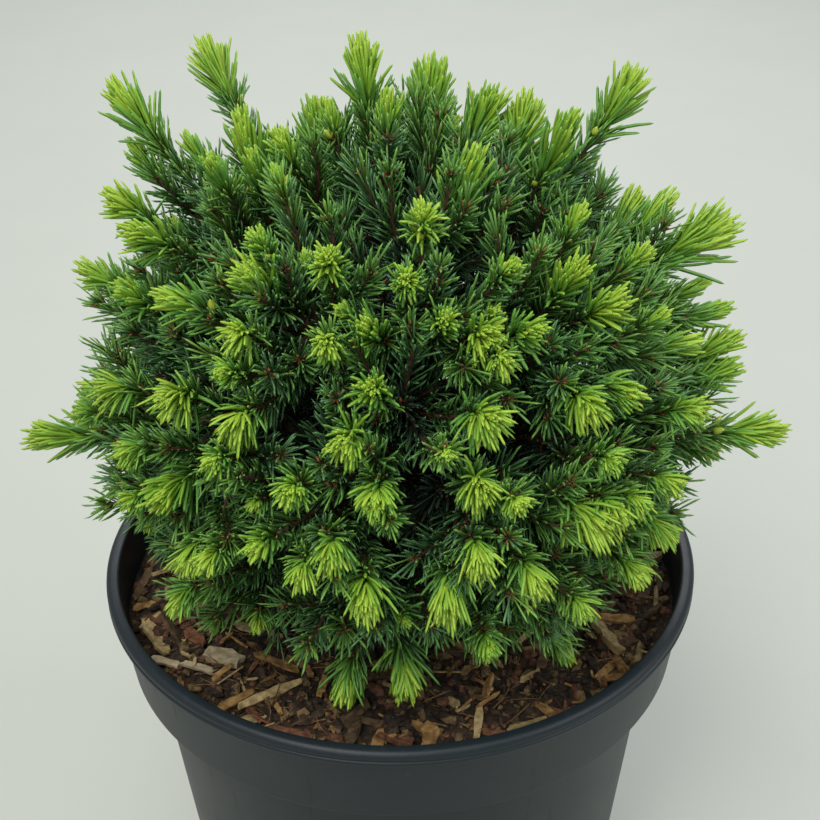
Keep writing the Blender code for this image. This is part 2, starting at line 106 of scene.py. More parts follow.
class Value:
    """A number socket of a shader, on which Python's operators add Math nodes."""

    def __init__(self, graph: Graph, socket: NodeSocket) -> None:
        """Wrap the output socket of a node in a graph."""
        self.graph = graph
        self.socket = socket

    def maths(self, operation: str, *others: Value | float) -> Value:
        """Result of a Math node on this value and the others that come after it."""
        inputs = dict(enumerate((self, *others)))
        return Value(self.graph, self.graph.add("Math", {"operation": operation}, inputs).outputs[0])

    def __add__(self, other: Value | float) -> Value:
        """Sum."""
        return self.maths("ADD", other)

    __radd__ = __add__

    def __mul__(self, other: Value | float) -> Value:
        """Product."""
        return self.maths("MULTIPLY", other)

    __rmul__ = __mul__

    def __sub__(self, other: Value | float) -> Value:
        """Difference."""
        return self.maths("SUBTRACT", other)

    def __rsub__(self, other: float) -> Value:
        """Difference from a number."""
        return self.maths("MULTIPLY_ADD", -1.0, other)

    def __truediv__(self, other: Value | float) -> Value:
        """Quotient."""
        return self.maths("DIVIDE", other)

    def clipped(self) -> Value:
        """This value held between 0 and 1."""
        return self.maths("MAXIMUM", 0.0).maths("MINIMUM", 1.0)

    def ramp(self, low: float, high: float) -> Value:
        """Smooth step from 0 to 1.

        Args:
            low: Value up to which the step is 0.
            high: Value from which it is 1.

        Returns:
            The step as a value.
        """
        settings = {"interpolation_type": "SMOOTHSTEP"}
        node = self.graph.add("MapRange", settings, {"Value": self, "From Min": low, "From Max": high})
        return Value(self.graph, node.outputs["Result"])


class Graph:
    """The nodes of one material, round one Principled BSDF."""

    def __init__(self, name: str) -> None:
        """Start an empty material.

        Args:
            name: The material's name.
        """
        self.material = bpy.data.materials.new(name)
        self.material.use_nodes = True
        self.tree = self.material.node_tree
        self.shader = self.tree.nodes["Principled BSDF"]

    def add(self, kind: str, settings: dict[str, Setting], inputs: dict) -> Node:
        """Add a node.

        Args:
            kind: Type of the node, without the ShaderNode in front.
            settings: Properties of the node, which are set first.
            inputs: Values or links for its sockets, by name or place.

        Returns:
            The new node.
        """
        node = self.tree.nodes.new(f"ShaderNode{kind}")
        for key, setting in settings.items():
            setattr(node, key, setting)
        for key, value in inputs.items():
            self.feed(node.inputs[key], value)
        return node

    def feed(self, socket: NodeSocket, value: Value | NodeSocket | float | tuple) -> None:
        """Link a value to a socket, or set the number or colour there.

        Args:
            socket: The input socket.
            value: A wrapped value, a socket, a number, a vector or a colour.
        """
        if isinstance(value, Value):
            self.tree.links.new(value.socket, socket)
        elif isinstance(value, NodeSocket):
            self.tree.links.new(value, socket)
        elif isinstance(value, tuple) and socket.type == "RGBA":
            socket.default_value = (*value, 1.0)
        else:
            socket.default_value = value

    def places(self, stretch: tuple[float, float, float] = (1.0, 1.0, 1.0)) -> NodeSocket:
        """Object coordinates, with the pattern scaled along each axis."""
        source = self.add("TexCoord", {}, {})
        return self.add("Mapping", {}, {"Vector": source.outputs["Object"], "Scale": stretch}).outputs[0]

    def noise(self, size: float, detail: float = 3.0, stretch: tuple = (1.0, 1.0, 1.0)) -> Value:
        """Noise about 0.5, with main lumps of a size in metres and some finer layers."""
        inputs = {"Vector": self.places(stretch), "Scale": 1.0 / size, "Detail": detail}
        return Value(self, self.add("TexNoise", {}, inputs).outputs["Fac"])

    def cells(self, size: float, stretch: tuple = (1.0, 1.0, 1.0)) -> Value:
        """Distance from the middle of the nearest cell, for cells of a width in metres."""
        inputs = {"Vector": self.places(stretch), "Scale": 1.0 / size}
        return Value(self, self.add("TexVoronoi", {}, inputs).outputs["Distance"])

    def mix(self, share: Value, first: Colour | NodeSocket, second: Colour | NodeSocket) -> NodeSocket:
        """Mix two colours by the share of the second."""
        inputs = {MIX_FACTOR: share, FIRST_COLOUR: first, SECOND_COLOUR: second}
        return self.add("Mix", {"data_type": "RGBA"}, inputs).outputs[MIXED_COLOUR]

    def bump(self, height: Value, depth: float) -> NodeSocket:
        """Normal of a relief that has the height as a share of its depth in metres."""
        return self.add("Bump", {}, {"Height": height, "Distance": depth, "Strength": 1.0}).outputs[0]

    def finish(self, **sockets: Value | NodeSocket | float | tuple) -> Material:
        """Feed the shader.

        Args:
            sockets: Values for its sockets, by name with underscores for spaces.

        Returns:
            The finished material.
        """
        for key, value in sockets.items():
            self.feed(self.shader.inputs[key.replace("_", " ").title().replace("Ior", "IOR")], value)
        return self.material


@dataclass(frozen=True)
class Finish:
    """A finish, known by its material's name and the record's slot."""

    name: str
    slot: Slot

    def material(self) -> Material:
        """The finish's material, made once."""
        return bpy.data.materials.get(self.name) or self.make(Graph(self.name))

    def make(self, graph: Graph) -> Material:
        """Build the material's nodes."""
        raise NotImplementedError


@dataclass(frozen=True)
class Waxy(Finish):
    """Thin living skin with a soft wax bloom, in one plain colour: needles, buds and young scales."""

    colour: Colour
    roughness: float = 0.42
    glow: float = 0.0
    glow_roughness: float = 0.4
    shine: float = 0.4

    def make(self, graph: Graph) -> Material:
        """Build the material's nodes."""
        return graph.finish(
            base_color=self.colour,
            roughness=self.roughness,
            specular_ior_level=self.shine,
            sheen_weight=self.glow,
            sheen_roughness=self.glow_roughness,
            sheen_tint=self.colour,
        )


@dataclass(frozen=True)
class Plastic(Finish):
    """Moulded dark plastic with a fine grain, faint scuffs and a dusting of dried mix."""

    colour: Colour = (0.0066, 0.0120, 0.0160)
    scuff: Colour = (0.013, 0.020, 0.025)
    dust: Colour = (0.095, 0.078, 0.058)
    grain_size: float = 0.0007
    drift_size: float = 0.045
    scratch_size: float = 0.004
    scratch_stretch: tuple[float, float, float] = (1.0, 1.0, 0.12)
    speck_size: float = 0.0024
    patch_size: float = 0.03
    dust_share: float = 0.6
    roughness: float = 0.40
    shine: float = 0.32
    depth: float = 0.00006

    def make(self, graph: Graph) -> Material:
        """Build the material's nodes.

        Args:
            graph: The node graph to build them in.

        Returns:
            The material.
        """
        grain = graph.noise(self.grain_size, 2.0)
        drift = graph.noise(self.drift_size, 4.0)
        scratches = graph.noise(self.scratch_size, 5.0, self.scratch_stretch).ramp(0.60, 0.78)
        patches = graph.noise(self.patch_size, 2.0)
        specks = graph.noise(self.speck_size, 4.0).ramp(0.66, 0.76) * patches.ramp(0.5, 0.7)
        worn = graph.mix(scratches * 0.35 + drift * 0.25, self.colour, self.scuff)
        return graph.finish(
            base_color=graph.mix(specks * self.dust_share, worn, self.dust),
            roughness=(self.roughness + drift * 0.14 + scratches * 0.12).clipped(),
            specular_ior_level=self.shine,
            normal=graph.bump(grain * 0.8 + drift * 0.2, self.depth),
        )


@dataclass(frozen=True)
class Crumbly(Finish):
    """Damp potting mix or bark chips: a dark and a light colour in uneven grain."""

    dark: Colour
    light: Colour
    grain: float = 0.0014
    broad_grain: float = 9.0
    roughness: float = 0.88
    shine: float = 0.25
    depth: float = 0.3

    def make(self, graph: Graph) -> Material:
        """Build the material's nodes.

        Args:
            graph: The node graph to build them in.

        Returns:
            The material.
        """
        fine = graph.noise(self.grain, 5.0)
        broad = graph.noise(self.grain * self.broad_grain, 3.0)
        light = (fine * 0.75 + broad * 0.55 - 0.15).ramp(0.3, 0.75)
        return graph.finish(
            base_color=graph.mix(light, self.dark, self.light),
            roughness=self.roughness,
            specular_ior_level=self.shine,
            normal=graph.bump(fine, self.grain * self.depth),
        )


@dataclass(frozen=True)
class Bark(Finish):
    """Thin bark: grey-brown plates with red-brown cracks that run along the wood."""

    plate: Colour
    crack: Colour
    scale: float = 0.0022
    lichen: Colour = (0.20, 0.19, 0.16)
    lichen_size: float = 0.012
    lichen_share: float = 0.35
    roughness: float = 0.82
    shine: float = 0.25
    depth: float = 0.0003

    def make(self, graph: Graph) -> Material:
        """Build the material's nodes.

        Args:
            graph: The node graph to build them in.

        Returns:
            The material.
        """
        cells = graph.cells(self.scale, (1.0, 1.0, 0.4))
        fine = graph.noise(self.scale * 0.5, 5.0, (1.0, 1.0, 0.5))
        lichen = graph.noise(self.lichen_size, 3.0).ramp(0.62, 0.78)
        wood = graph.mix((cells * 0.9 + fine * 0.6 - 0.25).clipped(), self.crack, self.plate)
        return graph.finish(
            base_color=graph.mix(lichen * self.lichen_share, wood, self.lichen),
            roughness=self.roughness,
            specular_ior_level=self.shine,
            normal=graph.bump(cells * 0.5 + fine * 0.5, self.depth),
        )


@dataclass(frozen=True)
class Paint(Finish):
    """Pale matt floor with a hardly visible mottle."""

    colour: Colour
    mottle: float = 0.94
    mottle_size: float = 0.08
    roughness: float = 0.75

    def make(self, graph: Graph) -> Material:
        """Build the material's nodes.

        Args:
            graph: The node graph to build them in.

        Returns:
            The material.
        """
        darker = tuple(part * self.mottle for part in self.colour)
        mottled = graph.mix(graph.noise(self.mottle_size, 4.0), darker, self.colour)
        return graph.finish(base_color=mottled, roughness=self.roughness)


LIME = Waxy("needles_lime", Slot.NEEDLES, (0.292, 0.448, 0.040), 0.48, 0.08)
FRESH = Waxy("needles_fresh", Slot.NEEDLES, (0.198, 0.378, 0.034), 0.48, 0.06)
SOFT = Waxy("needles_soft", Slot.NEEDLES, (0.108, 0.280, 0.040), 0.45, 0.04)
# Mature needle shades: the lightest is painted light near the crown's surface, the darker ones painted shade
# deeper in where needles are also older, the darkest painted shadow in the clefts and deepest inside.
PAINTED_LIT = Waxy("needles_light", Slot.NEEDLES, (0.144, 0.300, 0.050), 0.42)
MATURE = Waxy("needles_mature", Slot.NEEDLES, (0.097, 0.234, 0.050), 0.40)
BLUISH = Waxy("needles_bluish", Slot.NEEDLES, (0.088, 0.206, 0.076), 0.38)
SHADED = Waxy("needles_shaded", Slot.NEEDLES, (0.052, 0.138, 0.044), 0.40)
OLD_AND_SHADED = Waxy("needles_old", Slot.NEEDLES, (0.038, 0.084, 0.040), 0.45)
PAINTED_SHADOW = Waxy("needles_deep", Slot.NEEDLES, (0.022, 0.044, 0.026), 0.50)
BUD = Waxy("buds_yellow", Slot.NEEDLES, (0.420, 0.500, 0.060), 0.40)
RUST = Waxy("bud_scales_rust", Slot.BARK, (0.200, 0.065, 0.028), 0.60)
TWIG_BARK = Bark("twig_bark", Slot.BARK, (0.078, 0.038, 0.024), (0.034, 0.015, 0.010), 0.0012)
LIMB_BARK = Bark("limb_bark", Slot.BARK, (0.150, 0.105, 0.072), (0.050, 0.024, 0.014))
POT_PLASTIC = Plastic("moulded_plastic", Slot.POT)
MIX_SOIL = Crumbly("mix_soil", Slot.MIX, (0.008, 0.006, 0.005), (0.058, 0.036, 0.020))
CRUMB_DARK = Crumbly("crumb_dark", Slot.MIX, (0.012, 0.009, 0.007), (0.052, 0.034, 0.021))
CRUMB_RED = Crumbly("crumb_red", Slot.MIX, (0.040, 0.018, 0.010), (0.150, 0.070, 0.038))
CRUMB_BROWN = Crumbly("crumb_brown", Slot.MIX, (0.050, 0.032, 0.014), (0.200, 0.135, 0.058))
CHIP_DARK = Crumbly("chip_dark", Slot.MIX, (0.030, 0.019, 0.010), (0.125, 0.080, 0.038), 0.0020)
CHIP_RED = Crumbly("chip_red", Slot.MIX, (0.055, 0.022, 0.011), (0.200, 0.088, 0.042), 0.0020)
CHIP_ORANGE = Crumbly("chip_orange", Slot.MIX, (0.110, 0.056, 0.017), (0.340, 0.205, 0.075), 0.0020)
CHIP_TAN = Crumbly("chip_tan", Slot.MIX, (0.170, 0.120, 0.050), (0.430, 0.325, 0.160), 0.0020)
CHIP_PALE = Crumbly("chip_pale", Slot.MIX, (0.240, 0.190, 0.110), (0.520, 0.440, 0.290), 0.0026)
FIBRE_BROWN = Crumbly("fibre_brown", Slot.MIX, (0.050, 0.030, 0.014), (0.230, 0.140, 0.062))
FLOOR_PAINT = Paint("floor_paint", Slot.MIX, (0.425, 0.450, 0.405))


@dataclass(frozen=True)
class Seen:
    """A place read off the photo: across and down in its pixels, and a size there."""

    across: float
    down: float
    size: float = 1.0


@dataclass(frozen=True)
class View:
    """The camera at the photo's angle, which also tells what lies behind a place in the photo."""

    focal_pixels: float = 1500.0
    frame_pixels: float = 820.0
    sensor: float = 36.0
    spot: tuple[float, float, float] = (0.0040, -0.3932, 0.4466)
    pitch: float = -31.9
    roll: float = -0.94

    def turned(self) -> Matrix:
        """The camera's turn: pitched from level, then rolled round its own axis."""
        pitch = Matrix.Rotation(math.radians(90.0 + self.pitch), 4, "X")
        return pitch @ Matrix.Rotation(math.radians(self.roll), 4, "Z")

    def ray(self, seen: Seen) -> Vector:
        """Unit direction from the camera.

        Args:
            seen: The place in the photo that it goes through.

        Returns:
            The direction.
        """
        middle = self.frame_pixels / 2
        flat = Vector((seen.across - middle, middle - seen.down, -self.focal_pixels))
        return (self.turned().to_3x3() @ flat).normalized()

    def metres(self, pixels: float, point: Vector) -> float:
        """Width in metres of some pixels at a point."""
        return pixels * (point - Vector(self.spot)).length / self.focal_pixels

    def nearest(self, seen: Seen, point: Vector) -> Vector:
        """What lies behind a place in the photo, as near as can be to a point."""
        start, ray = Vector(self.spot), self.ray(seen)
        return start + ray * (point - start).dot(ray)

    def on_ball(self, seen: Seen, centre: Vector, radius: float) -> Vector:
        """What lies behind a place in the photo on a ball.

        Args:
            seen: The place in the photo.
            centre: Middle of the ball.
            radius: Its radius in metres.

        Returns:
            The near point of the ball there, or the point that comes nearest to it.
        """
        nearest = self.nearest(seen, centre)
        depth = math.sqrt(max(0.0, radius**2 - (nearest - centre).length_squared))
        return nearest - self.ray(seen) * depth

    def on_level(self, seen: Seen, height: float) -> Vector:
        """What lies behind a place in the photo at a height."""
        start, ray = Vector(self.spot), self.ray(seen)
        return start + ray * ((height - start.z) / ray.z)

    def build(self) -> None:
        """Put the camera in the scene."""
        data = bpy.data.cameras.new("view_camera")
        data.sensor_width = self.sensor
        data.lens = self.sensor * self.focal_pixels / self.frame_pixels
        data.clip_start = 0.01
        camera = bpy.data.objects.new("view_camera", data)
        camera.matrix_world = Matrix.Translation(self.spot) @ self.turned()
        bpy.context.scene.collection.objects.link(camera)
        bpy.context.scene.camera = camera


def new_piece(name: str, mesh: bpy.types.Mesh) -> Object:
    """Put a mesh in the scene as an object at the origin.

    Args:
        name: Name of the object.
        mesh: Its mesh, with its place in it.

    Returns:
        The object.
    """
    piece = bpy.data.objects.new(name, mesh)
    bpy.context.scene.collection.objects.link(piece)
    return piece


def enter(piece: Object, finish: Finish, nodes: Iterable[str] = ()) -> Object:
    """Dress a finished piece, hang it on the body that it rides on and hide the CAD nodes that it stands for.

    Args:
        piece: The piece, at the origin.
        finish: Its finish.
        nodes: CAD nodes that it replaces.

    Returns:
        The same piece.
    """
    piece.data.materials.clear()
    piece.data.materials.append(finish.material())
    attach(piece, BODY)
    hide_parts(*nodes)
    triangles = sum(len(face.vertices) - 2 for face in piece.data.polygons)
    LOG.info("%s: %d triangles", piece.name, triangles)
    return piece


def from_bmesh(name: str, shape: bmesh.types.BMesh, smooth_below: float = 40.0) -> Object:
    """Turn a bmesh into an object, shaded smooth but for its true corners.

    Args:
        name: Name of the object.
        shape: The bmesh, which is freed.
        smooth_below: Degrees under which an edge is shaded smooth.

    Returns:
        The object.
    """
    mesh = bpy.data.meshes.new(name)
    shape.to_mesh(mesh)
    shape.free()
    mesh.shade_smooth()
    mesh.set_sharp_from_angle(angle=math.radians(smooth_below))
    return new_piece(name, mesh)


def cut_across(shape: bmesh.types.BMesh, axis: int, cuts: int) -> None:
    """Divide the edges that cross the middle of a shape along an axis by evenly spaced cuts."""
    crossing = [edge for edge in shape.edges if edge.verts[0].co[axis] * edge.verts[1].co[axis] < 0.0]
    bmesh.ops.subdivide_edges(shape, edges=crossing, cuts=cuts)


def stacked(sides: int, levels: int) -> bmesh.types.BMesh:
    """A closed tube of radius 1 along Z, about the origin, with rings of points one apart.

    Args:
        sides: Sides of its section.
        levels: Number of spaces between its rings.

    Returns:
        The tube.
    """
    shape = bmesh.new()
    bmesh.ops.create_cone(shape, cap_ends=True, segments=sides, radius1=1.0, radius2=1.0, depth=levels)
    cut_across(shape, 2, levels - 1)
    return shape


def turned_round(outline: list[Span], steps: int) -> bmesh.types.BMesh:
    """Turn an outline round the Z axis.

    Args:
        outline: Radius and height of each corner, from the axis back to it.
        steps: Steps of the turn.

    Returns:
        The shape.
    """
    shape = bmesh.new()
    points = [shape.verts.new((radius, 0.0, height)) for radius, height in outline]
    chain = [shape.edges.new(pair) for pair in zip(points, points[1:])]
    bmesh.ops.spin(
        shape, geom=points + chain, cent=(0.0, 0.0, 0.0), axis=(0.0, 0.0, 1.0),
        angle=math.tau, steps=steps, use_merge=True,
    )
    bmesh.ops.remove_doubles(shape, verts=shape.verts, dist=SAME_PLACE)
    return shape


def bowed(corners: Curve, share: float) -> Vector:
    """A place on the curve that leaves the first corner for the second and ends at the third."""
    start, bend, end = corners
    return start * (1 - share) ** 2 + bend * 2 * share * (1 - share) + end * share * share


def rise_in_degrees(direction: Vector) -> float:
    """Rise of a unit direction over level."""
    return math.degrees(math.asin(direction.z))


@dataclass
class Template:
    """A small closed shape whose copies are joined: its points and its faces as arrays."""

    points: np.ndarray
    corners: np.ndarray
    starts: np.ndarray
    triangles: int

    @classmethod
    def from_bmesh(cls, shape: bmesh.types.BMesh) -> Template:
        """Read a bmesh into arrays, and free it.

        Args:
            shape: The bmesh, along Z.

        Returns:
            The template.
        """
        shape.verts.index_update()
        points = np.array([corner.co[:] for corner in shape.verts])
        loops = [[corner.index for corner in face.verts] for face in shape.faces]
        sizes = [len(loop) for loop in loops]
        shape.free()
        starts = np.concatenate(([0], np.cumsum(sizes)[:-1]))
        return cls(points, np.concatenate(loops), starts, sum(sizes) - 2 * len(sizes))

    @classmethod
    def needle(cls, sides: int, rings: tuple[Span, ...]) -> Template:
        """A needle along Z from 0 to 1, closed to a point at its tip.

        Args:
            sides: Sides of its section.
            rings: Place along it and radius of each ring of points below its tip.

        Returns:
            The template.
        """
        count = len(rings)
        shape = stacked(sides, count)
        top = [corner for corner in shape.verts if round(corner.co.z + count / 2) == count]
        bmesh.ops.pointmerge(shape, verts=top, merge_co=Vector((0.0, 0.0, count / 2)))
        for corner in shape.verts:
            place, radius = (*rings, (1.0, 0.0))[round(corner.co.z + count / 2)]
            corner.co = Vector((corner.co.x * radius, corner.co.y * radius, place))
        return cls.from_bmesh(shape)

    @classmethod
    def tube(cls, sides: int, rings: int) -> Template:
        """A closed tube of radius 1 along Z, whose points stand at whole heights from 0 to rings - 1.

        Args:
            sides: Sides of its section.
            rings: Rings of points along it.

        Returns:
            The template.
        """
        levels = rings - 1
        shape = stacked(sides, levels)
        bmesh.ops.translate(shape, vec=(0.0, 0.0, levels / 2), verts=shape.verts)
        return cls.from_bmesh(shape)

    @classmethod
    def lump(cls, seed: int, roughness: float, subdivisions: int = 1) -> Template:
        """An uneven lump of radius 1.

        Args:
            seed: Seed of its unevenness.
            roughness: How far a point may move, as a share of the radius.
            subdivisions: Fineness of the ball that it starts from.

        Returns:
            The template.
        """
        rng = random.Random(seed)
        shape = bmesh.new()
        bmesh.ops.create_icosphere(shape, subdivisions=subdivisions, radius=1.0)
        for corner in shape.verts:
            corner.co *= 1.0 + rng.uniform(-roughness, roughness)
        return cls.from_bmesh(shape)

    @classmethod
    def sliver(cls, seed: int) -> Template:
        """A torn sliver of bark along Z, 1 long, 1 wide along X and 1 thick along Y.

        Args:
            seed: Seed of its torn outline.

        Returns:
            The template.
        """
        rng = random.Random(seed)
        shape = bmesh.new()
        bmesh.ops.create_cube(shape, size=1.0)
        parts = 5
        cut_across(shape, 2, parts - 1)
        cut_across(shape, 0, 1)
        bow = rng.uniform(-0.9, 0.9)
        slant = rng.uniform(-0.5, 0.5)
        widths = [rng.uniform(0.62, 1.0) for _ in range(parts + 1)]
        for corner in shape.verts:
            level = round((corner.co.z + 0.5) * parts)
            end = level in (0, parts)
            width = widths[level] * (rng.uniform(0.35, 0.85) if end else 1.0)
            corner.co.z += corner.co.x * slant * 0.2 + rng.uniform(-0.05, 0.05)
            corner.co.x = corner.co.x * width + bow * 0.25 * (corner.co.z**2)
            corner.co.y = corner.co.y * rng.uniform(0.6, 1.0) + bow * 1.1 * (corner.co.z**2)
        bmesh.ops.recalc_face_normals(shape, faces=shape.faces)
        return cls.from_bmesh(shape)


def unit(vectors: np.ndarray) -> np.ndarray:
    """Rows scaled to length 1."""
    return vectors / np.maximum(np.linalg.norm(vectors, axis=-1, keepdims=True), 1e-12)


def across(directions: np.ndarray) -> np.ndarray:
    """A unit vector at right angles to each direction.

    Args:
        directions: Unit directions.

    Returns:
        One vector for each, level unless the direction is steep.
    """
    steep = np.abs(directions[..., 2:3]) > 0.9
    helper = np.where(steep, np.array((1.0, 0.0, 0.0)), np.array((0.0, 0.0, 1.0)))
    return unit(np.cross(directions, helper))


def spread(axes: np.ndarray, turns: np.ndarray, leans: np.ndarray) -> tuple[np.ndarray, np.ndarray]:
    """Directions that stand out round axes.

    Args:
        axes: Unit axes.
        turns: Turn of each direction round its axis in radians.
        leans: Its lean from the axis in radians.

    Returns:
        The directions straight out from the axes, and those at the leans.
    """
    first = across(axes)
    second = np.cross(axes, first)
    out = first * np.cos(turns)[:, None] + second * np.sin(turns)[:, None]
    return out, unit(axes * np.cos(leans)[:, None] + out * np.sin(leans)[:, None])


@dataclass
class Joined:
    """Copies of one template, joined into pieces of one finish."""

    name: str
    template: Template
    finish: Finish
    nodes: tuple[str, ...] = ()
    smooth: bool = True
    copies: list[np.ndarray] = field(default_factory=list)

    def place(
        self,
        spots: np.ndarray,
        along: np.ndarray,
        length: np.ndarray,
        width: np.ndarray,
        thickness: np.ndarray,
        bend: np.ndarray,
        turn: np.ndarray,
    ) -> None:
        """Add straight or evenly bent copies.

        Args:
            spots: Foot of each copy.
            along: Unit direction of its Z axis.
            length: Scale along it.
            width: Scale along its X axis.
            thickness: Scale along its Y axis.
            bend: How far its far end is moved sideways, as a vector.
            turn: Turn round its own axis in radians.
        """
        first = across(along)
        second = np.cross(along, first)
        cos, sin = np.cos(turn)[:, None], np.sin(turn)[:, None]
        wide = (first * cos + second * sin) * width[:, None]
        thick = (second * cos - first * sin) * thickness[:, None]
        x, y, z = (self.template.points[None, :, part, None] for part in range(3))
        placed = spots[:, None] + along[:, None] * length[:, None, None] * z + wide[:, None] * x
        self.copies.append((placed + thick[:, None] * y + bend[:, None] * z * z).astype(np.float32))

    def sweep(self, paths: np.ndarray, radii: np.ndarray) -> None:
        """Add copies of a tube template along paths.

        Args:
            paths: Points of each path, one for each of the tube's rings.
            radii: Radius at each of those points.
        """
        ring = np.rint(self.template.points[:, 2]).astype(int)
        heading = unit(paths[:, -1] - paths[:, 0])
        tangents = unit(np.gradient(paths, axis=1))
        side = across(heading)[:, None]
        first = unit(side - tangents * np.sum(side * tangents, axis=-1, keepdims=True))
        second = np.cross(tangents, first)
        x, y = self.template.points[None, :, 0, None], self.template.points[None, :, 1, None]
        spokes = first[:, ring] * x + second[:, ring] * y
        self.copies.append((paths[:, ring] + spokes * radii[:, ring, None]).astype(np.float32))

    def build(self) -> list[Object]:
        """Join the copies.

        Returns:
            The pieces, each with fewer triangles than PIECE_TRIANGLES.
        """
        if not self.copies:
            return []
        points = np.concatenate(self.copies)
        count = math.ceil(len(points) * self.template.triangles / PIECE_TRIANGLES)
        pieces = []
        for number, block in enumerate(np.array_split(points, count)):
            name = self.name if count == 1 else f"{self.name}_{number + 1}"
            pieces.append(enter(new_piece(name, self.joined_mesh(name, block)), self.finish, self.nodes))
        return pieces

    def joined_mesh(self, name: str, block: np.ndarray) -> bpy.types.Mesh:
        """Make one mesh of many copies.

        Args:
            name: Name of the mesh.
            block: Points of each copy.

        Returns:
            The mesh.
        """
        copies, points = block.shape[:2]
        step = np.arange(copies, dtype=np.int64)[:, None]
        corners = (self.template.corners[None] + step * points).ravel().astype(np.int32)
        starts = (self.template.starts[None] + step * len(self.template.corners)).ravel().astype(np.int32)
        mesh = bpy.data.meshes.new(name)
        mesh.vertices.add(copies * points)
        mesh.loops.add(len(corners))
        mesh.polygons.add(len(starts))
        mesh.vertices.foreach_set("co", block.reshape(-1))
        mesh.loops.foreach_set("vertex_index", corners)
        mesh.polygons.foreach_set("loop_start", starts)
        mesh.polygons.foreach_set("use_smooth", np.full(len(starts), self.smooth))
        mesh.update(calc_edges=True)
        mesh.validate()
        return mesh


@dataclass(frozen=True)
class Leader:
    """The shoot that leads a mass, by its direction from the crown's hub and its reach in metres."""

    name: str
    heading: float
    rise: float
    reach: float


@dataclass(frozen=True)
class Path:
    """A cubic curve."""

    controls: np.ndarray

    @classmethod
    def through(cls, root: Vector, bend: Vector, tip: Vector) -> Path:
        """A smooth curve that leaves its root for the bend and reaches the tip from it."""
        corners = (root, root.lerp(bend, PATH_LEAVING), bend.lerp(tip, PATH_ARRIVING), tip)
        return cls(np.array([corner[:] for corner in corners]))

    def at(self, share: np.ndarray | float) -> np.ndarray:
        """Points of the curve.

        Args:
            share: Places along it, from 0 to 1.

        Returns:
            One point for each place.
        """
        s = np.atleast_1d(share)[:, None]
        a, b, c, d = self.controls
        return a * (1 - s) ** 3 + b * 3 * s * (1 - s) ** 2 + c * 3 * s * s * (1 - s) + d * s**3

    def heading(self, share: np.ndarray | float) -> np.ndarray:
        """Unit tangents of the curve.

        Args:
            share: Places along it, from 0 to 1.

        Returns:
            One tangent for each place.
        """
        s = np.atleast_1d(share)[:, None]
        a, b, c, d = self.controls
        return unit((b - a) * (1 - s) ** 2 + (c - b) * 2 * s * (1 - s) + (d - c) * s * s)

    def lengths(self, count: int = 24) -> tuple[np.ndarray, np.ndarray]:
        """Measure the curve.

        Args:
            count: Number of places.

        Returns:
            Places along it, and the length up to each.
        """
        shares = np.linspace(0.0, 1.0, count)
        steps = np.linalg.norm(np.diff(self.at(shares), axis=0), axis=1)
        return shares, np.concatenate(([0.0], np.cumsum(steps)))

    def length(self) -> float:
        """Length of the curve in metres."""
        return float(self.lengths()[1][-1])

    def share_before(self, rest: float) -> float:
        """Place along the curve from which a given length is left."""
        shares, lengths = self.lengths()
        return float(np.interp(lengths[-1] - rest, lengths, shares))


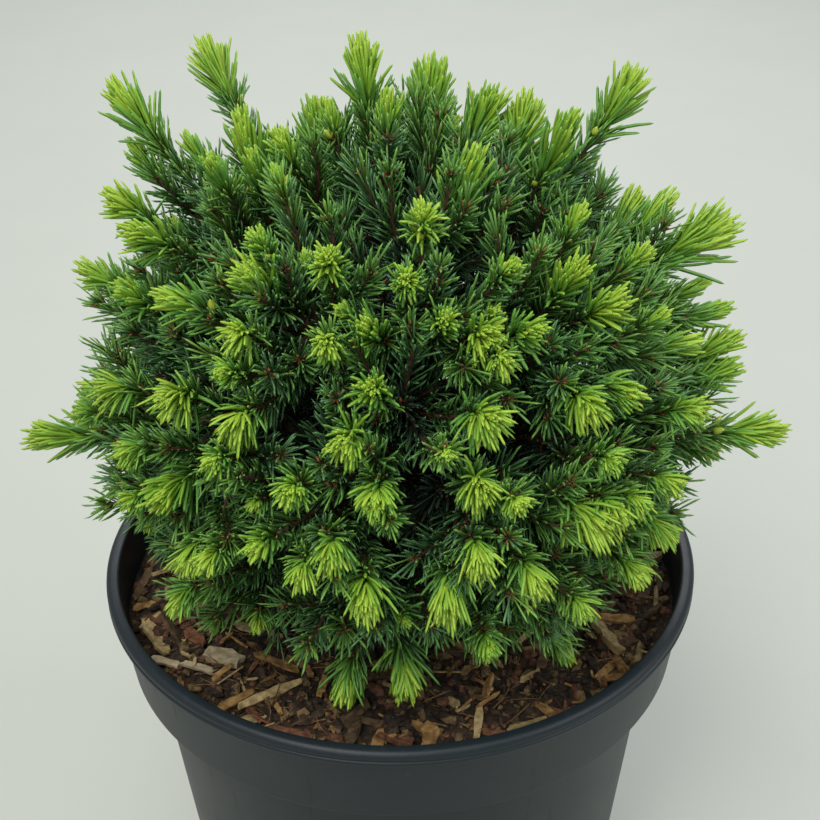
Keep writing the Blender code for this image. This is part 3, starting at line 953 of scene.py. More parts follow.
@dataclass
class Crown:
    """The rule that places every bough and shoot, in the same sizes as the solids'."""

    hub: Vector = field(default_factory=lambda: Vector((0.0, 0.0, 0.200)))
    gap: float = 0.0003
    mix_level: float = 0.139
    trunk_top: float = 0.236
    trunk_foot_radius: float = 0.0065
    trunk_tip_radius: float = 0.0020
    root_flare: float = 0.0035
    flare_height: float = 0.006
    trunk_lean: Vector = field(default_factory=lambda: Vector((0.0030, 0.0015, 0.0)))
    reach: float = 0.104
    low_reach: float = 0.082
    lowest_rise: float = -38.0
    entry_reach: float = 0.046
    stem_end: float = 0.072
    space_reach: float = 0.080
    bough_foot_heights: Span = (0.158, 0.225)
    bough_start_rise: float = 0.4
    bough_bend: float = 0.5
    bough_radii: Span = (0.0018, 0.0013)
    shoots_per_mass: int = 6
    shoot_tries: int = 600
    shoot_spacing: float = 0.0185
    shoot_spread: float = 44.0
    shoot_reach_shares: Span = (0.90, 1.0)
    shoot_upturn: float = 0.32
    shoot_roots: Span = (0.056, 0.068)
    root_offset: float = 0.0006
    brush: float = 0.0280
    tip_margin: float = 0.0034
    lobe_margin: float = 0.002
    lobe_fall: float = 0.0013
    top_name: str = "crown_top"
    leaders: tuple[Leader, ...] = (
        Leader("crown_top", -141.0, 83.5, 0.116),
        Leader("tall_left", -136.0, 50.0, 0.130),
        Leader("upper_left", -103.0, 50.6, 0.129),
        Leader("front_left_top", -31.0, 50.0, 0.108),
        Leader("front_top", 30.0, 71.0, 0.107),
        Leader("front_crest", 12.0, 54.0, 0.107),
        Leader("right_top", 52.0, 43.0, 0.107),
        Leader("tall_right", 110.0, 54.6, 0.124),
        Leader("back_top", 166.0, 60.0, 0.110),
        Leader("front_upper", 2.0, 34.0, 0.106),
        Leader("left_upper", -84.0, 28.0, 0.107),
        Leader("far_left", -77.0, 5.5, 0.113),
        Leader("front_left", -48.0, 20.0, 0.106),
        Leader("front_middle", -14.0, 11.0, 0.103),
        Leader("front_right", 18.0, 11.0, 0.103),
        Leader("right_front", 45.0, 15.0, 0.104),
        Leader("far_right", 76.0, 4.5, 0.118),
        Leader("right_upper", 95.0, 34.0, 0.116),
        Leader("back_right", 132.0, 21.0, 0.109),
        Leader("back_middle", 172.0, 25.0, 0.108),
        Leader("back_left", -146.0, 18.0, 0.110),
        Leader("low_front_left", -40.0, -19.0, 0.094),
        Leader("low_front", -4.0, -23.0, 0.095),
        Leader("low_front_right", 30.0, -19.0, 0.095),
        Leader("low_right", 104.0, -17.0, 0.097),
        Leader("low_back_right", 143.0, -19.0, 0.096),
        Leader("low_back", -177.0, -19.0, 0.096),
        Leader("low_back_left", -138.0, -19.0, 0.096),
        Leader("low_left", -104.0, -17.0, 0.097),
    )
    shoulders: tuple[Leader, ...] = (
        Leader("left_shoulder", -94.0, 30.0, 0.1115),
        Leader("right_shoulder", 90.0, 22.0, 0.1105),
        Leader("right_side", 85.0, 14.0, 0.1095),
        Leader("skirt_left", -12.0, -28.0, 0.1030),
        Leader("skirt_front", 0.0, -29.0, 0.1050),
        Leader("skirt_right", 38.0, -28.0, 0.0980),
    )

    @staticmethod
    def direction(heading: float, rise: float) -> Vector:
        """Unit vector of a heading and a rise.

        Args:
            heading: Degrees round Z, from straight to the front.
            rise: Degrees above level.

        Returns:
            The vector.
        """
        around, above = math.radians(heading), math.radians(rise)
        level = math.cos(above)
        return Vector((math.sin(around) * level, -math.cos(around) * level, math.sin(above)))

    def axis_of(self, leader: Leader) -> Vector:
        """Direction of a leader from the hub."""
        return self.direction(leader.heading, leader.rise)

    def mass_nodes(self) -> tuple[str, ...]:
        """Names of the masses' CAD nodes."""
        return tuple(f"needles_{leader.name}" for leader in self.leaders)

    def bough_nodes(self) -> tuple[str, ...]:
        """Names of the boughs' CAD nodes."""
        return tuple(f"bough_{leader.name}" for leader in self.leaders if leader.name != self.top_name)

    def centres(self) -> dict[str, Vector]:
        """Middle of each mass's own space."""
        return {leader.name: self.hub + self.axis_of(leader) * self.space_reach for leader in self.leaders}

    def trunk_axis(self, height: float) -> Vector:
        """Middle of the trunk at a height."""
        share = (height - self.mix_level) / (self.trunk_top - self.mix_level)
        return Vector((0.0, 0.0, height)) + self.trunk_lean * share * share

    def trunk_radius(self, height: float) -> float:
        """Radius of the trunk, with the flare at its foot.

        Args:
            height: Height above the ground.

        Returns:
            The radius in metres.
        """
        share = (height - self.mix_level) / (self.trunk_top - self.mix_level)
        taper = self.trunk_foot_radius + (self.trunk_tip_radius - self.trunk_foot_radius) * share
        return taper + self.root_flare * math.exp(-(height - self.mix_level) / self.flare_height)

    def reach_at(self, rise: float) -> float:
        """How far ordinary shoots reach at a rise."""
        share = min(1.0, max(0.0, rise / self.lowest_rise))
        return self.reach + (self.low_reach - self.reach) * share

    def lobed_reach(self, outward: Vector) -> float:
        """How far twigs reach in a direction, with a lobe round each leader and shoulder that stands out.

        Args:
            outward: Unit direction from the hub.

        Returns:
            The reach in metres.
        """
        reach = self.reach_at(rise_in_degrees(outward))
        for leader in self.leaders + self.shoulders:
            away = math.degrees(outward.angle(self.axis_of(leader)))
            reach = max(reach, leader.reach - self.lobe_margin - self.lobe_fall * away)
        return reach

    def brush_at(self, rise: float) -> float:
        """Length of the needled end of a shoot at a rise."""
        return self.brush * self.reach_at(rise) / self.reach

    def upturned(self, outward: Vector) -> Vector:
        """Heading of a shoot's end, which turns up a little from straight outwards."""
        return (outward + Vector((0.0, 0.0, self.shoot_upturn))).normalized()

    def stem_reach(self, reach: float, rise: float) -> float:
        """Reach of a place on a mass's stem, drawn in where the crown itself reaches less far.

        Args:
            reach: The place's reach where the crown reaches farthest.
            rise: Rise of the stem in degrees.

        Returns:
            The reach in metres.
        """
        whole = self.reach - self.brush - self.entry_reach
        room = (self.reach_at(rise) - self.brush_at(rise) - self.entry_reach) / whole
        return self.entry_reach + (reach - self.entry_reach) * room

    def room_in_space(self, point: Vector, own: str, centres: dict[str, Vector]) -> float:
        """How far a point stands inside its mass's own space.

        Args:
            point: The point.
            own: Name of its mass.
            centres: Middle of each mass's space.

        Returns:
            The distance to the nearest side of that space in metres.
        """
        home = centres[own]
        others = [centre for name, centre in centres.items() if name != own]
        return min(((home + centre) / 2 - point).dot((centre - home).normalized()) for centre in others)

    def shoots(self, leader: Leader, centres: dict[str, Vector]) -> list[Curve]:
        """Root, bend and tip of each shoot in a mass: the leader's, then side shoots that have room.

        Args:
            leader: The mass's leader.
            centres: Middle of each mass's space.

        Returns:
            The three points of each shoot.
        """
        rng = random.Random(f"mass {leader.name}")
        axis = self.axis_of(leader)
        side = axis.orthogonal().normalized()
        root = self.hub + axis * self.stem_reach(self.shoot_roots[1], leader.rise) + side * self.root_offset
        tip = self.hub + axis * leader.reach
        shoots = [(root, tip - self.upturned(axis) * self.brush_at(leader.rise), tip)]
        for _ in range(self.shoot_tries):
            shoot, room = self.draw_shoot(leader, centres, rng, self.shoot_reach_shares)
            spaced = all((shoot[2] - other[2]).length > self.shoot_spacing for other in shoots)
            if len(shoots) < self.shoots_per_mass and room > self.tip_margin and spaced:
                shoots.append(shoot)
        return shoots

    def draw_shoot(
        self, leader: Leader, centres: dict[str, Vector], rng: random.Random, shares: Span
    ) -> tuple[Curve, float]:
        """Draw a side shoot of a mass.

        Args:
            leader: The mass's leader.
            centres: Middle of each mass's space.
            rng: Source of the draws.
            shares: Least and greatest reach as a share of the crown's.

        Returns:
            Its root, bend and tip, and the room that it has in its mass's space.
        """
        axis = self.axis_of(leader)
        sideways = axis.orthogonal().normalized()
        lean = math.radians(self.shoot_spread) * math.sqrt(rng.random())
        turn = rng.uniform(0.0, math.tau)
        share = rng.uniform(*shares)
        side = Matrix.Rotation(turn, 3, axis) @ sideways
        outward = (axis * math.cos(lean) + side * math.sin(lean)).normalized()
        above = rise_in_degrees(outward)
        shoot = self.shoot_towards(leader, self.hub + outward * self.reach_at(above) * share, rng)
        room = min(self.room_in_space(spot, leader.name, centres) for spot in shoot[1:])
        return shoot, room if above > self.lowest_rise else -1.0

    def shoot_towards(
        self, leader: Leader, tip: Vector, rng: random.Random
    ) -> Curve:
        """A side shoot of a mass that ends at a given tip.

        Args:
            leader: The mass's leader.
            tip: The shoot's tip.
            rng: Source of the draw for its root.

        Returns:
            Its root, bend and tip.
        """
        axis = self.axis_of(leader)
        outward = (tip - self.hub).normalized()
        side = (outward - axis * outward.dot(axis)).normalized()
        root_reach = self.stem_reach(rng.uniform(*self.shoot_roots), leader.rise)
        root = self.hub + axis * root_reach + side * self.root_offset
        return root, tip - self.upturned(outward) * self.brush_at(rise_in_degrees(outward)), tip

    def bough_controls(self) -> dict[str, Curve]:
        """The curve of every bough, with the trunk's tip in place of one for the crown's top.

        Returns:
            Start, bend and end of each by its leader's name.
        """
        order = sorted((leader.rise, leader.name) for leader in self.leaders if leader.name != self.top_name)
        low, high = self.bough_foot_heights
        step = (high - low) / (len(order) - 1)
        heights = {name: low + step * place for place, (_, name) in enumerate(order)}
        controls = {self.top_name: (self.trunk_axis(self.trunk_top),) * 3}
        for leader in self.leaders:
            if leader.name == self.top_name:
                continue
            entry = self.hub + self.axis_of(leader) * self.entry_reach
            middle = self.trunk_axis(heights[leader.name])
            chord = entry - middle
            start_rise = self.bough_start_rise * math.degrees(math.atan2(chord.z, chord.xy.length))
            leave = self.direction(leader.heading, start_rise)
            controls[leader.name] = (middle, middle + leave * chord.length * self.bough_bend, entry)
        return controls


@dataclass
class Limbs:
    """The trunk and the boughs, with their bark in relief."""

    crown: Crown
    trunk_sides: int = 40
    trunk_rings: int = 110
    bough_sides: int = 14
    bough_rings: int = 34
    flare_lobes: int = 5
    flare_lobe_depth: float = 0.28
    crack_depth: float = 0.00045
    scar_depth: float = 0.00018
    scar_grain: float = 900.0
    plate_grain: tuple[float, float, float] = (620.0, 620.0, 230.0)
    crack_width: float = 0.25
    bough_cracks: float = 0.5
    collar: float = 0.0012
    collar_fall: float = 14.0
    flare_turn: float = 0.7
    flare_rise: float = 1.4
    ring_bunching: float = 1.5

    def limb(self, points: list[Vector], radii: list[float], sides: int, depth: float) -> bmesh.types.BMesh:
        """A round limb with cracked bark along a row of points.

        Args:
            points: Middle of the limb at each ring.
            radii: Radius at each ring.
            sides: Sides of a ring.
            depth: Depth of the bark's cracks in metres.

        Returns:
            The limb as a closed bmesh.
        """
        levels = len(points) - 1
        shape = stacked(sides, levels)
        for corner in shape.verts:
            ring = round(corner.co.z + levels / 2)
            before, after = points[max(0, ring - 1)], points[min(levels, ring + 1)]
            spoke = (after - before).to_track_quat("Z", "Y") @ Vector((corner.co.x, corner.co.y, 0.0))
            place = points[ring] + spoke * radii[ring]
            corner.co = place + spoke * self.relief(place, depth)
        bmesh.ops.recalc_face_normals(shape, faces=shape.faces)
        return shape

    def relief(self, place: Vector, depth: float) -> float:
        """Height of the bark: plates between cracks that run up the wood, and needle scars.

        Args:
            place: The place on the limb.
            depth: Depth of the cracks in metres.

        Returns:
            The height in metres.
        """
        nearest = noise.voronoi(place * Vector(self.plate_grain))[0]
        cracks = -depth * max(0.0, 1.0 - (nearest[1] - nearest[0]) / self.crack_width)
        return cracks + noise.noise(place * self.scar_grain) * self.scar_depth

    def build_trunk(self) -> Object:
        """The trunk, from its flare on the mix to the stem of the crown's top.

        Returns:
            The piece that replaces the trunk's solid.
        """
        crown = self.crown
        foot = crown.mix_level + crown.gap
        spread = [share**self.ring_bunching for share in np.linspace(0.0, 1.0, self.trunk_rings)]
        heights = [foot + (crown.trunk_top - foot) * share for share in spread]
        points = [crown.trunk_axis(height) for height in heights]
        radii = [crown.trunk_radius(height) for height in heights]
        shape = self.limb(points, radii, self.trunk_sides, self.crack_depth)
        for corner in shape.verts:
            low = math.exp(-(corner.co.z - crown.mix_level) / (crown.flare_height * self.flare_rise))
            around = math.atan2(corner.co.y, corner.co.x)
            lobes = (math.cos(self.flare_lobes * around + self.flare_turn) - 0.9) * 0.5
            swell = 1.0 + self.flare_lobe_depth * low * lobes
            corner.co.x *= swell
            corner.co.y *= swell
            corner.co.z = max(corner.co.z, foot)
        return enter(from_bmesh("trunk_bark", shape, 60.0), LIMB_BARK, ("trunk",))

    def build_boughs(self) -> Object:
        """Every bough, from inside the trunk to where its mass begins.

        Returns:
            The one piece that replaces the boughs' solids.
        """
        joined = bmesh.new()
        wide, slim = self.crown.bough_radii
        for name, corners in self.crown.bough_controls().items():
            if name == self.crown.top_name:
                continue
            shares = np.linspace(0.0, 1.0, self.bough_rings)
            points = [bowed(corners, share) for share in shares]
            collar = [self.collar * math.exp(-share * self.collar_fall) for share in shares]
            radii = [wide + (slim - wide) * share + extra for share, extra in zip(shares, collar)]
            shape = self.limb(points, radii, self.bough_sides, self.crack_depth * self.bough_cracks)
            mesh = bpy.data.meshes.new("bough")
            shape.to_mesh(mesh)
            shape.free()
            joined.from_mesh(mesh)
            bpy.data.meshes.remove(mesh)
        return enter(from_bmesh("bough_bark", joined, 60.0), LIMB_BARK, self.crown.bough_nodes())


@dataclass(frozen=True)
class FlushForm:
    """Sizes of a tuft of new needles: its axis, its needles, how they stand and bend, and how far it nods."""

    axis: float = 0.0
    needles: int = 0
    length: float = 0.0
    leans: Span = (0.0, 0.0)
    curl: float = 0.0
    droop: float = 0.0
    nod: float = 0.0
    sway: float = 0.0
    tip_share: float = 0.94
    outer_weight: float = 0.3
    inner_weight: float = 0.7
    middle_of_axis: float = 0.67
    middle_of_needle: float = 0.45
    middle_of_curl: float = 0.25
    middle_of_droop: float = 0.2

    def reach(self) -> float:
        """How far it reaches beyond last year's wood."""
        return self.axis + self.length * math.cos(math.radians(self.leans[1])) * self.tip_share

    def middle(self, end: Vector, size: float) -> Vector:
        """Where the middle of its needles lies from the end of last year's wood.

        Args:
            end: Unit direction of the wood there.
            size: Scale of the tuft.

        Returns:
            The offset in metres.
        """
        nodding = (end - Vector((0.0, 0.0, self.nod))).normalized()
        outer, inner = self.leans
        lean = math.radians(self.outer_weight * outer + self.inner_weight * inner)
        forward = self.middle_of_needle * math.cos(lean) + self.middle_of_curl * self.curl
        ahead = self.middle_of_axis * self.axis + self.length * forward
        return (nodding * ahead - Vector((0.0, 0.0, self.middle_of_droop * self.droop * self.length))) * size


FLUSH_FORMS: dict[Flush, FlushForm] = {
    Flush.CLOSED: FlushForm(0.0080, 88, 0.0118, (36.0, 3.0), 0.40, sway=0.05),
    Flush.BRUSH: FlushForm(0.0100, 108, 0.0124, (42.0, 9.0), 0.14, sway=0.06),
    Flush.OPENING: FlushForm(0.0076, 88, 0.0096, (60.0, 10.0), 0.34, 0.22, 0.12, sway=0.12),
    Flush.FANNED: FlushForm(0.0062, 88, 0.0092, (76.0, 12.0), 0.24, 0.70, 0.20, sway=0.18),
    Flush.DROOPING: FlushForm(0.0058, 88, 0.0102, (76.0, 12.0), 0.16, 1.10, 0.26, sway=0.20),
    Flush.DORMANT: FlushForm(),
}
SEEN_LEADERS: dict[str, Seen] = {
    "tall_left": Seen(213, 62, 1.30),
    "upper_left": Seen(128, 103, 1.30),
    "crown_top": Seen(363, 66, 1.30),
    "back_top": Seen(431, 84, 1.24),
    "tall_right": Seen(624, 92, 1.30),
    "far_left": Seen(50, 432, 1.20),
    "far_right": Seen(760, 428, 1.20),
}
SEEN_TUFTS: dict[str, tuple[Seen, ...]] = {
    "high_left": (
        Seen(137, 150, 0.80), Seen(243, 137, 1.35), Seen(252, 162, 0.80), Seen(192, 143, 0.80),
        Seen(214, 165, 0.80), Seen(285, 142, 0.65), Seen(276, 174, 0.50),
    ),
    "high_middle": (
        Seen(388, 103, 0.75), Seen(330, 112, 0.60), Seen(430, 88, 1.25), Seen(464, 172, 1.30),
    ),
    "high_right": (
        Seen(482, 110, 1.15), Seen(527, 118, 1.30), Seen(562, 135, 1.35),
    ),
    "upper_left": (
        Seen(122, 200, 1.10), Seen(143, 232, 1.20), Seen(92, 272, 1.00), Seen(128, 292, 1.00),
        Seen(178, 297, 1.15), Seen(257, 278, 1.35), Seen(258, 240, 0.70), Seen(237, 337, 0.85),
        Seen(224, 370, 0.70),
    ),
    "upper_middle": (
        Seen(424, 220, 0.80), Seen(326, 262, 0.90), Seen(407, 280, 0.70), Seen(510, 268, 0.75),
        Seen(370, 322, 1.15), Seen(325, 345, 0.70), Seen(485, 335, 1.20), Seen(503, 362, 0.70),
        Seen(445, 318, 0.70), Seen(530, 328, 1.00),
    ),
    "upper_right": (
        Seen(632, 208, 1.15), Seen(662, 205, 1.05), Seen(705, 232, 1.50), Seen(580, 215, 0.70),
        Seen(572, 274, 1.00), Seen(610, 302, 1.15), Seen(640, 255, 0.60), Seen(695, 285, 0.80),
        Seen(662, 315, 0.60), Seen(683, 338, 1.00), Seen(713, 308, 1.00), Seen(722, 345, 0.95),
        Seen(720, 372, 0.95),
    ),
    "middle_left": (
        Seen(110, 393, 1.00), Seen(172, 402, 1.05), Seen(82, 413, 0.60), Seen(128, 455, 0.75),
        Seen(232, 425, 1.00), Seen(213, 462, 0.75), Seen(163, 490, 1.30), Seen(130, 503, 0.60),
        Seen(290, 493, 0.90),
    ),
    "middle": (
        Seen(372, 388, 0.95), Seen(347, 443, 1.05), Seen(376, 500, 1.10), Seen(485, 422, 1.10),
        Seen(446, 455, 0.40), Seen(481, 492, 1.00), Seen(518, 505, 0.60),
    ),
    "middle_right": (
        Seen(625, 382, 1.20), Seen(592, 403, 1.20), Seen(693, 412, 1.00), Seen(612, 460, 0.75),
        Seen(672, 487, 0.80), Seen(618, 515, 0.90), Seen(640, 505, 0.80),
    ),
    "low_left": (
        Seen(257, 547, 0.85), Seen(185, 563, 0.90), Seen(207, 562, 0.80), Seen(178, 605, 0.80),
    ),
    "low_middle": (
        Seen(330, 558, 1.00), Seen(300, 577, 0.75), Seen(366, 602, 1.15), Seen(345, 690, 1.05),
        Seen(400, 690, 1.30), Seen(448, 603, 1.25), Seen(481, 562, 1.00), Seen(489, 650, 0.70),
    ),
    "low_right": (
        Seen(535, 585, 1.00), Seen(592, 528, 1.30), Seen(665, 537, 1.00), Seen(638, 575, 0.85),
        Seen(583, 612, 0.65), Seen(568, 658, 0.65),
    ),
}
SEEN_CLEFTS: tuple[Seen, ...] = (
    Seen(395, 205, 32), Seen(385, 235, 26), Seen(235, 225, 29), Seen(300, 300, 20), Seen(430, 395, 38),
    Seen(425, 345, 23), Seen(435, 450, 29), Seen(415, 450, 32), Seen(430, 505, 35), Seen(425, 550, 29),
    Seen(560, 470, 32), Seen(620, 430, 17), Seen(180, 450, 32), Seen(275, 560, 22), Seen(240, 610, 36),
    Seen(300, 625, 29), Seen(300, 440, 20), Seen(500, 590, 14), Seen(395, 555, 17), Seen(350, 280, 22),
    Seen(545, 295, 17), Seen(285, 400, 20), Seen(530, 620, 20), Seen(600, 640, 20), Seen(470, 380, 12),
    Seen(560, 440, 20), Seen(330, 530, 14),
)
FLUSH_SHARES: tuple[tuple[float, dict[Flush, float]], ...] = (
    (62.0, {Flush.CLOSED: 0.45, Flush.BRUSH: 0.30, Flush.OPENING: 0.25}),
    (42.0, {Flush.CLOSED: 0.15, Flush.OPENING: 0.55, Flush.FANNED: 0.30}),
    (12.0, {Flush.OPENING: 0.20, Flush.FANNED: 0.35, Flush.DROOPING: 0.45}),
    (-90.0, {Flush.FANNED: 0.30, Flush.DROOPING: 0.70}),
)


@dataclass
class Shoot:
    """A shoot's root, bend and tip, the form and size of its tuft, its side buds and how thick its needles
    stand.
    """

    root: Vector
    bend: Vector
    tip: Vector
    form: FlushForm = FLUSH_FORMS[Flush.DORMANT]
    tuft: float = 0.0
    buds: int = 0
    thick: float = 1.0

    def shift(self, way: Vector) -> None:
        """Move its bend and its tip."""
        self.bend = self.bend + way
        self.tip = self.tip + way


@dataclass
class Spray:
    """Needles round a piece of wood, with one entry of each array for each needle.

    The spots are their feet and the axes the wood's direction there. Leans from the wood and turns round it
    are in radians. Curls along the wood, droops and sways to the side are shares of a needle's length.
    """

    spots: np.ndarray
    axes: np.ndarray
    leans: np.ndarray
    turns: np.ndarray
    lengths: np.ndarray
    curls: np.ndarray
    droops: np.ndarray
    sways: np.ndarray

    def some(self, own: np.ndarray) -> Spray:
        """The needles that a mask picks."""
        return Spray(*(part[own] for part in vars(self).values()))


@dataclass
class Foliage:
    """Twigs, needles, buds and bud scales of every mass, grown on from the boughs."""

    crown: Crown
    view: View
    # Wood of the twigs.
    twig_rings: int = 7
    shoot_wood: Span = (0.00095, 0.00060)
    fork_wood: Span = (0.00070, 0.00050)
    inner_wood: Span = (0.00080, 0.00050)
    # Mature needles.
    needle_radius: float = 0.00046
    needle_flatness: float = 0.85
    needle_sizes: Span = (0.85, 1.15)
    needles_per_metre: float = 2600.0
    bare_share: float = 0.12
    mature_length: Span = (0.0078, 0.0106)
    mature_leans: Span = (62.0, 42.0)
    mature_scatter: float = 12.0
    mature_curl: Span = (0.28, 0.10)
    mature_droop: Span = (0.06, 0.06)
    mature_sway: float = 0.08
    upright_lean: float = 12.0
    upright_rise: float = 50.0
    # The ruff of mature needles round the end of the wood.
    ruff_needles: int = 18
    ruff_length: Span = (0.0088, 0.0112)
    quiet_ruff: float = 0.6
    ruff_depth: float = 0.003
    ruff_leans: Span = (22.0, 54.0)
    ruff_curl: Span = (0.20, 0.10)
    ruff_droop: Span = (0.08, 0.06)
    # Shades of the mature needles: painted light near the crown's surface, painted shade deeper in where the
    # needles are also older, and painted shadow in the clefts.
    bluish_share: float = 0.26
    shade_by_depth: float = 2.0
    tone_scatter: float = 0.22
    light_tone: float = 0.40
    mature_tone: float = 0.74
    shaded_tone: float = 1.08
    old_and_shaded_tone: float = 1.42
    age_scatter: float = 0.12
    quiet_age: float = 0.18
    # Painted shadow on the needles of twigs in the dark clefts.
    cleft_painted_shade: float = 1.00
    fork_age: float = 0.15
    inner_age_and_shade: float = 0.35
    # New needles.
    new_needle_radius: float = 0.00058
    new_count_shares: Span = (0.45, 0.55)
    new_width_shares: Span = (0.75, 0.25)
    new_lengths: Span = (0.74, 1.10)
    new_lean_fall: float = 0.8
    new_lean_scatter: float = 10.0
    new_curls: Span = (0.4, 1.2)
    new_curl_scatter: float = 0.12
    new_droop_foot: float = 1.25
    new_droop_scatter: float = 0.6
    inner_shortening: float = 0.16
    heart: float = 0.88
    heart_length: float = 0.72
    heart_curl: float = 0.25
    bands: tuple[tuple[Waxy, float, float], ...] = (
        (SOFT, -1.0, 0.34), (FRESH, 0.34, 0.68), (LIME, 0.68, 2.0)
    )
    band_scatter: float = 0.16
    band_shift: Span = (-0.16, 0.12)
    # Bud scales and buds.
    scale_ring: float = 0.0007
    scale_scatter: float = 0.0006
    scale_leans: Span = (22.0, 52.0)
    scale_lengths: Span = (0.0016, 0.0026)
    scale_width: float = 0.00062
    scale_flatness: float = 0.4
    scale_bend: float = 0.25
    scale_counts: tuple[int, int] = (8, 6)
    shoot_scales: float = 0.9
    fork_scales: float = 0.75
    joint_scales: float = 0.5
    bud_length: float = 0.0038
    bud_radius: float = 0.00120
    bud_leans: Span = (30.0, 50.0)
    bud_out: float = 0.0022
    bud_sizes: Span = (0.80, 1.15)
    bud_rise: float = 36.0
    bud_share: float = 0.3
    # Further shoots between the source's own.
    finer_shoots: int = 8
    finer_tries: int = 500
    finer_shares: Span = (0.90, 1.0)
    finer_spacing: float = 0.0132
    seen_spacing: float = 0.0165
    finer_margin: float = 0.0005
    quiet_reach: float = 0.91
    cleft_reach: float = 0.70
    pocket_scale: float = 4.6
    pocket_shift: tuple[float, float, float] = (0.0, 3.1, 0.0)
    pocket_level: float = -0.16
    # Side twigs of a shoot.
    forks_per_shoot: int = 3
    fork_shares: Span = (0.42, 0.50)
    fork_leans: Span = (38.0, 58.0)
    fork_lengths: Span = (0.0150, 0.0220)
    fork_bend: float = 0.45
    fork_end: float = 0.6
    fork_bare: float = 0.05
    fork_thick: float = 1.15
    fork_wood_least: float = 0.25
    fork_sizes: Span = (0.45, 0.65)
    fork_room: float = 4.0
    fork_reach: float = 0.93
    fork_tufts: float = 0.10
    tip_spacing: float = 0.0105
    # Old twigs inside the crown.
    inner_twigs: int = 13
    inner_leans: Span = (45.0, 80.0)
    inner_lengths: Span = (0.014, 0.026)
    inner_thick: float = 0.72
    inner_bare: float = 0.1
    inner_turn: float = 0.8
    stem_overlap: float = 0.001
    stem_lead: float = 0.004
    cleft_shortening: float = 0.6
    bough_twigs: int = 5
    bough_twig_shares: Span = (0.35, 0.60)
    bough_twig_lengths: Span = (0.012, 0.022)
    bough_twig_leans: Span = (40.0, 75.0)
    bough_twig_thick: float = 0.7
    bough_twig_turn: float = 0.4
    bough_twig_bare: float = 0.15
    # Tufts on the side that the photo doesn't show, and standing ones.
    tuft_spacing: float = 0.0215
    tuft_sizes: Span = (0.85, 1.15)
    standing_reach: float = 0.1095
    standing_size: float = 1.24
    standing_thick: float = 1.5
    # What the photo shows.
    seen_rise: float = 32.0
    seen_side: float = 0.15
    seen_size: float = 1.10
    high_size: float = 1.10
    high_rise: float = 58.0
    seen_room: float = 0.0085
    skirt_rise: float = -9.0
    aim_steps: int = 6
    seen_leaders: dict[str, Seen] = field(default_factory=lambda: SEEN_LEADERS)
    seen_tufts: dict[str, tuple[Seen, ...]] = field(default_factory=lambda: SEEN_TUFTS)
    seen_clefts: tuple[Seen, ...] = SEEN_CLEFTS
    upright_regions: tuple[str, ...] = ("high_left", "high_middle", "high_right", "upper_right")
    cleft_depth: float = 0.93
    # Sources of the draws, and the tips so far.
    rng: random.Random = field(default_factory=lambda: random.Random(7))
    grains: np.random.Generator = field(default_factory=lambda: np.random.default_rng(7))
    tips: list[Vector] = field(default_factory=list)

    def __post_init__(self) -> None:
        """Start the joined pieces."""
        nodes = self.crown.mass_nodes()
        soft = Template.needle(3, ((0.0, 0.62), (0.36, 1.0), (0.70, 0.98), (0.94, 0.70)))
        stiff = Template.needle(3, ((0.0, 0.60), (0.84, 0.86)))
        scale = Template.needle(3, ((0.0, 0.75), (0.45, 1.1)))
        egg = Template.needle(6, ((0.0, 0.60), (0.28, 1.0), (0.58, 0.80), (0.86, 0.34)))
        self.new = {shade: Joined(f"new_{shade.name}", soft, shade, nodes) for shade in (LIME, FRESH, SOFT)}
        older = (PAINTED_LIT, MATURE, BLUISH, SHADED, OLD_AND_SHADED, PAINTED_SHADOW)
        self.mature = {shade: Joined(f"mature_{shade.name}", stiff, shade, nodes) for shade in older}
        self.twigs = Joined("twigs", Template.tube(5, self.twig_rings), TWIG_BARK, nodes)
        self.buds = Joined("buds", egg, BUD, nodes)
        self.scales = Joined("bud_scales", scale, RUST, nodes)
        self.clefts = [self.cleft(seen) for seen in self.seen_clefts]

    def cleft(self, seen: Seen) -> tuple[Vector, float]:
        """A dark cleft in the photo, as the crown has it.

        Args:
            seen: The cleft in the photo.

        Returns:
            Its direction from the hub, and half its width in radians.
        """
        crown = self.crown
        depth = crown.reach * self.cleft_depth
        spot = self.view.on_ball(seen, crown.hub, depth)
        return self.outward(spot), self.view.metres(seen.size, spot) / depth

    def add_twig(self, path: Path, wood: Span, end: float = 1.0) -> None:
        """Add the wood of a twig that ends at a place on its curve, by its radius at foot and end."""
        points = path.at(np.linspace(0.0, end, self.twig_rings))
        self.twigs.sweep(points[None], np.linspace(*wood, self.twig_rings)[None])

    def add_needles(self, piece: Joined, spray: Spray, radius: float) -> None:
        """Add needles round an axis.

        Args:
            piece: Joined piece that they go in.
            spray: The needles.
            radius: Radius of a needle at its widest.
        """
        count = len(spray.spots)
        if not count:
            return
        axes = spray.axes
        out, along = spread(axes, spray.turns, spray.leans)
        inward = axes - along * np.sum(axes * along, axis=1, keepdims=True)
        down = along * along[:, 2:3] - np.array((0.0, 0.0, 1.0))
        beside = np.cross(axes, out)
        parts = ((inward, spray.curls), (down, spray.droops), (beside, spray.sways))
        bend = sum(way * (share * spray.lengths)[:, None] for way, share in parts)
        size = np.full(count, radius) * self.grains.uniform(*self.needle_sizes, count)
        twist = self.grains.uniform(0.0, math.tau, count)
        piece.place(spray.spots, along, spray.lengths, size, size * self.needle_flatness, bend, twist)

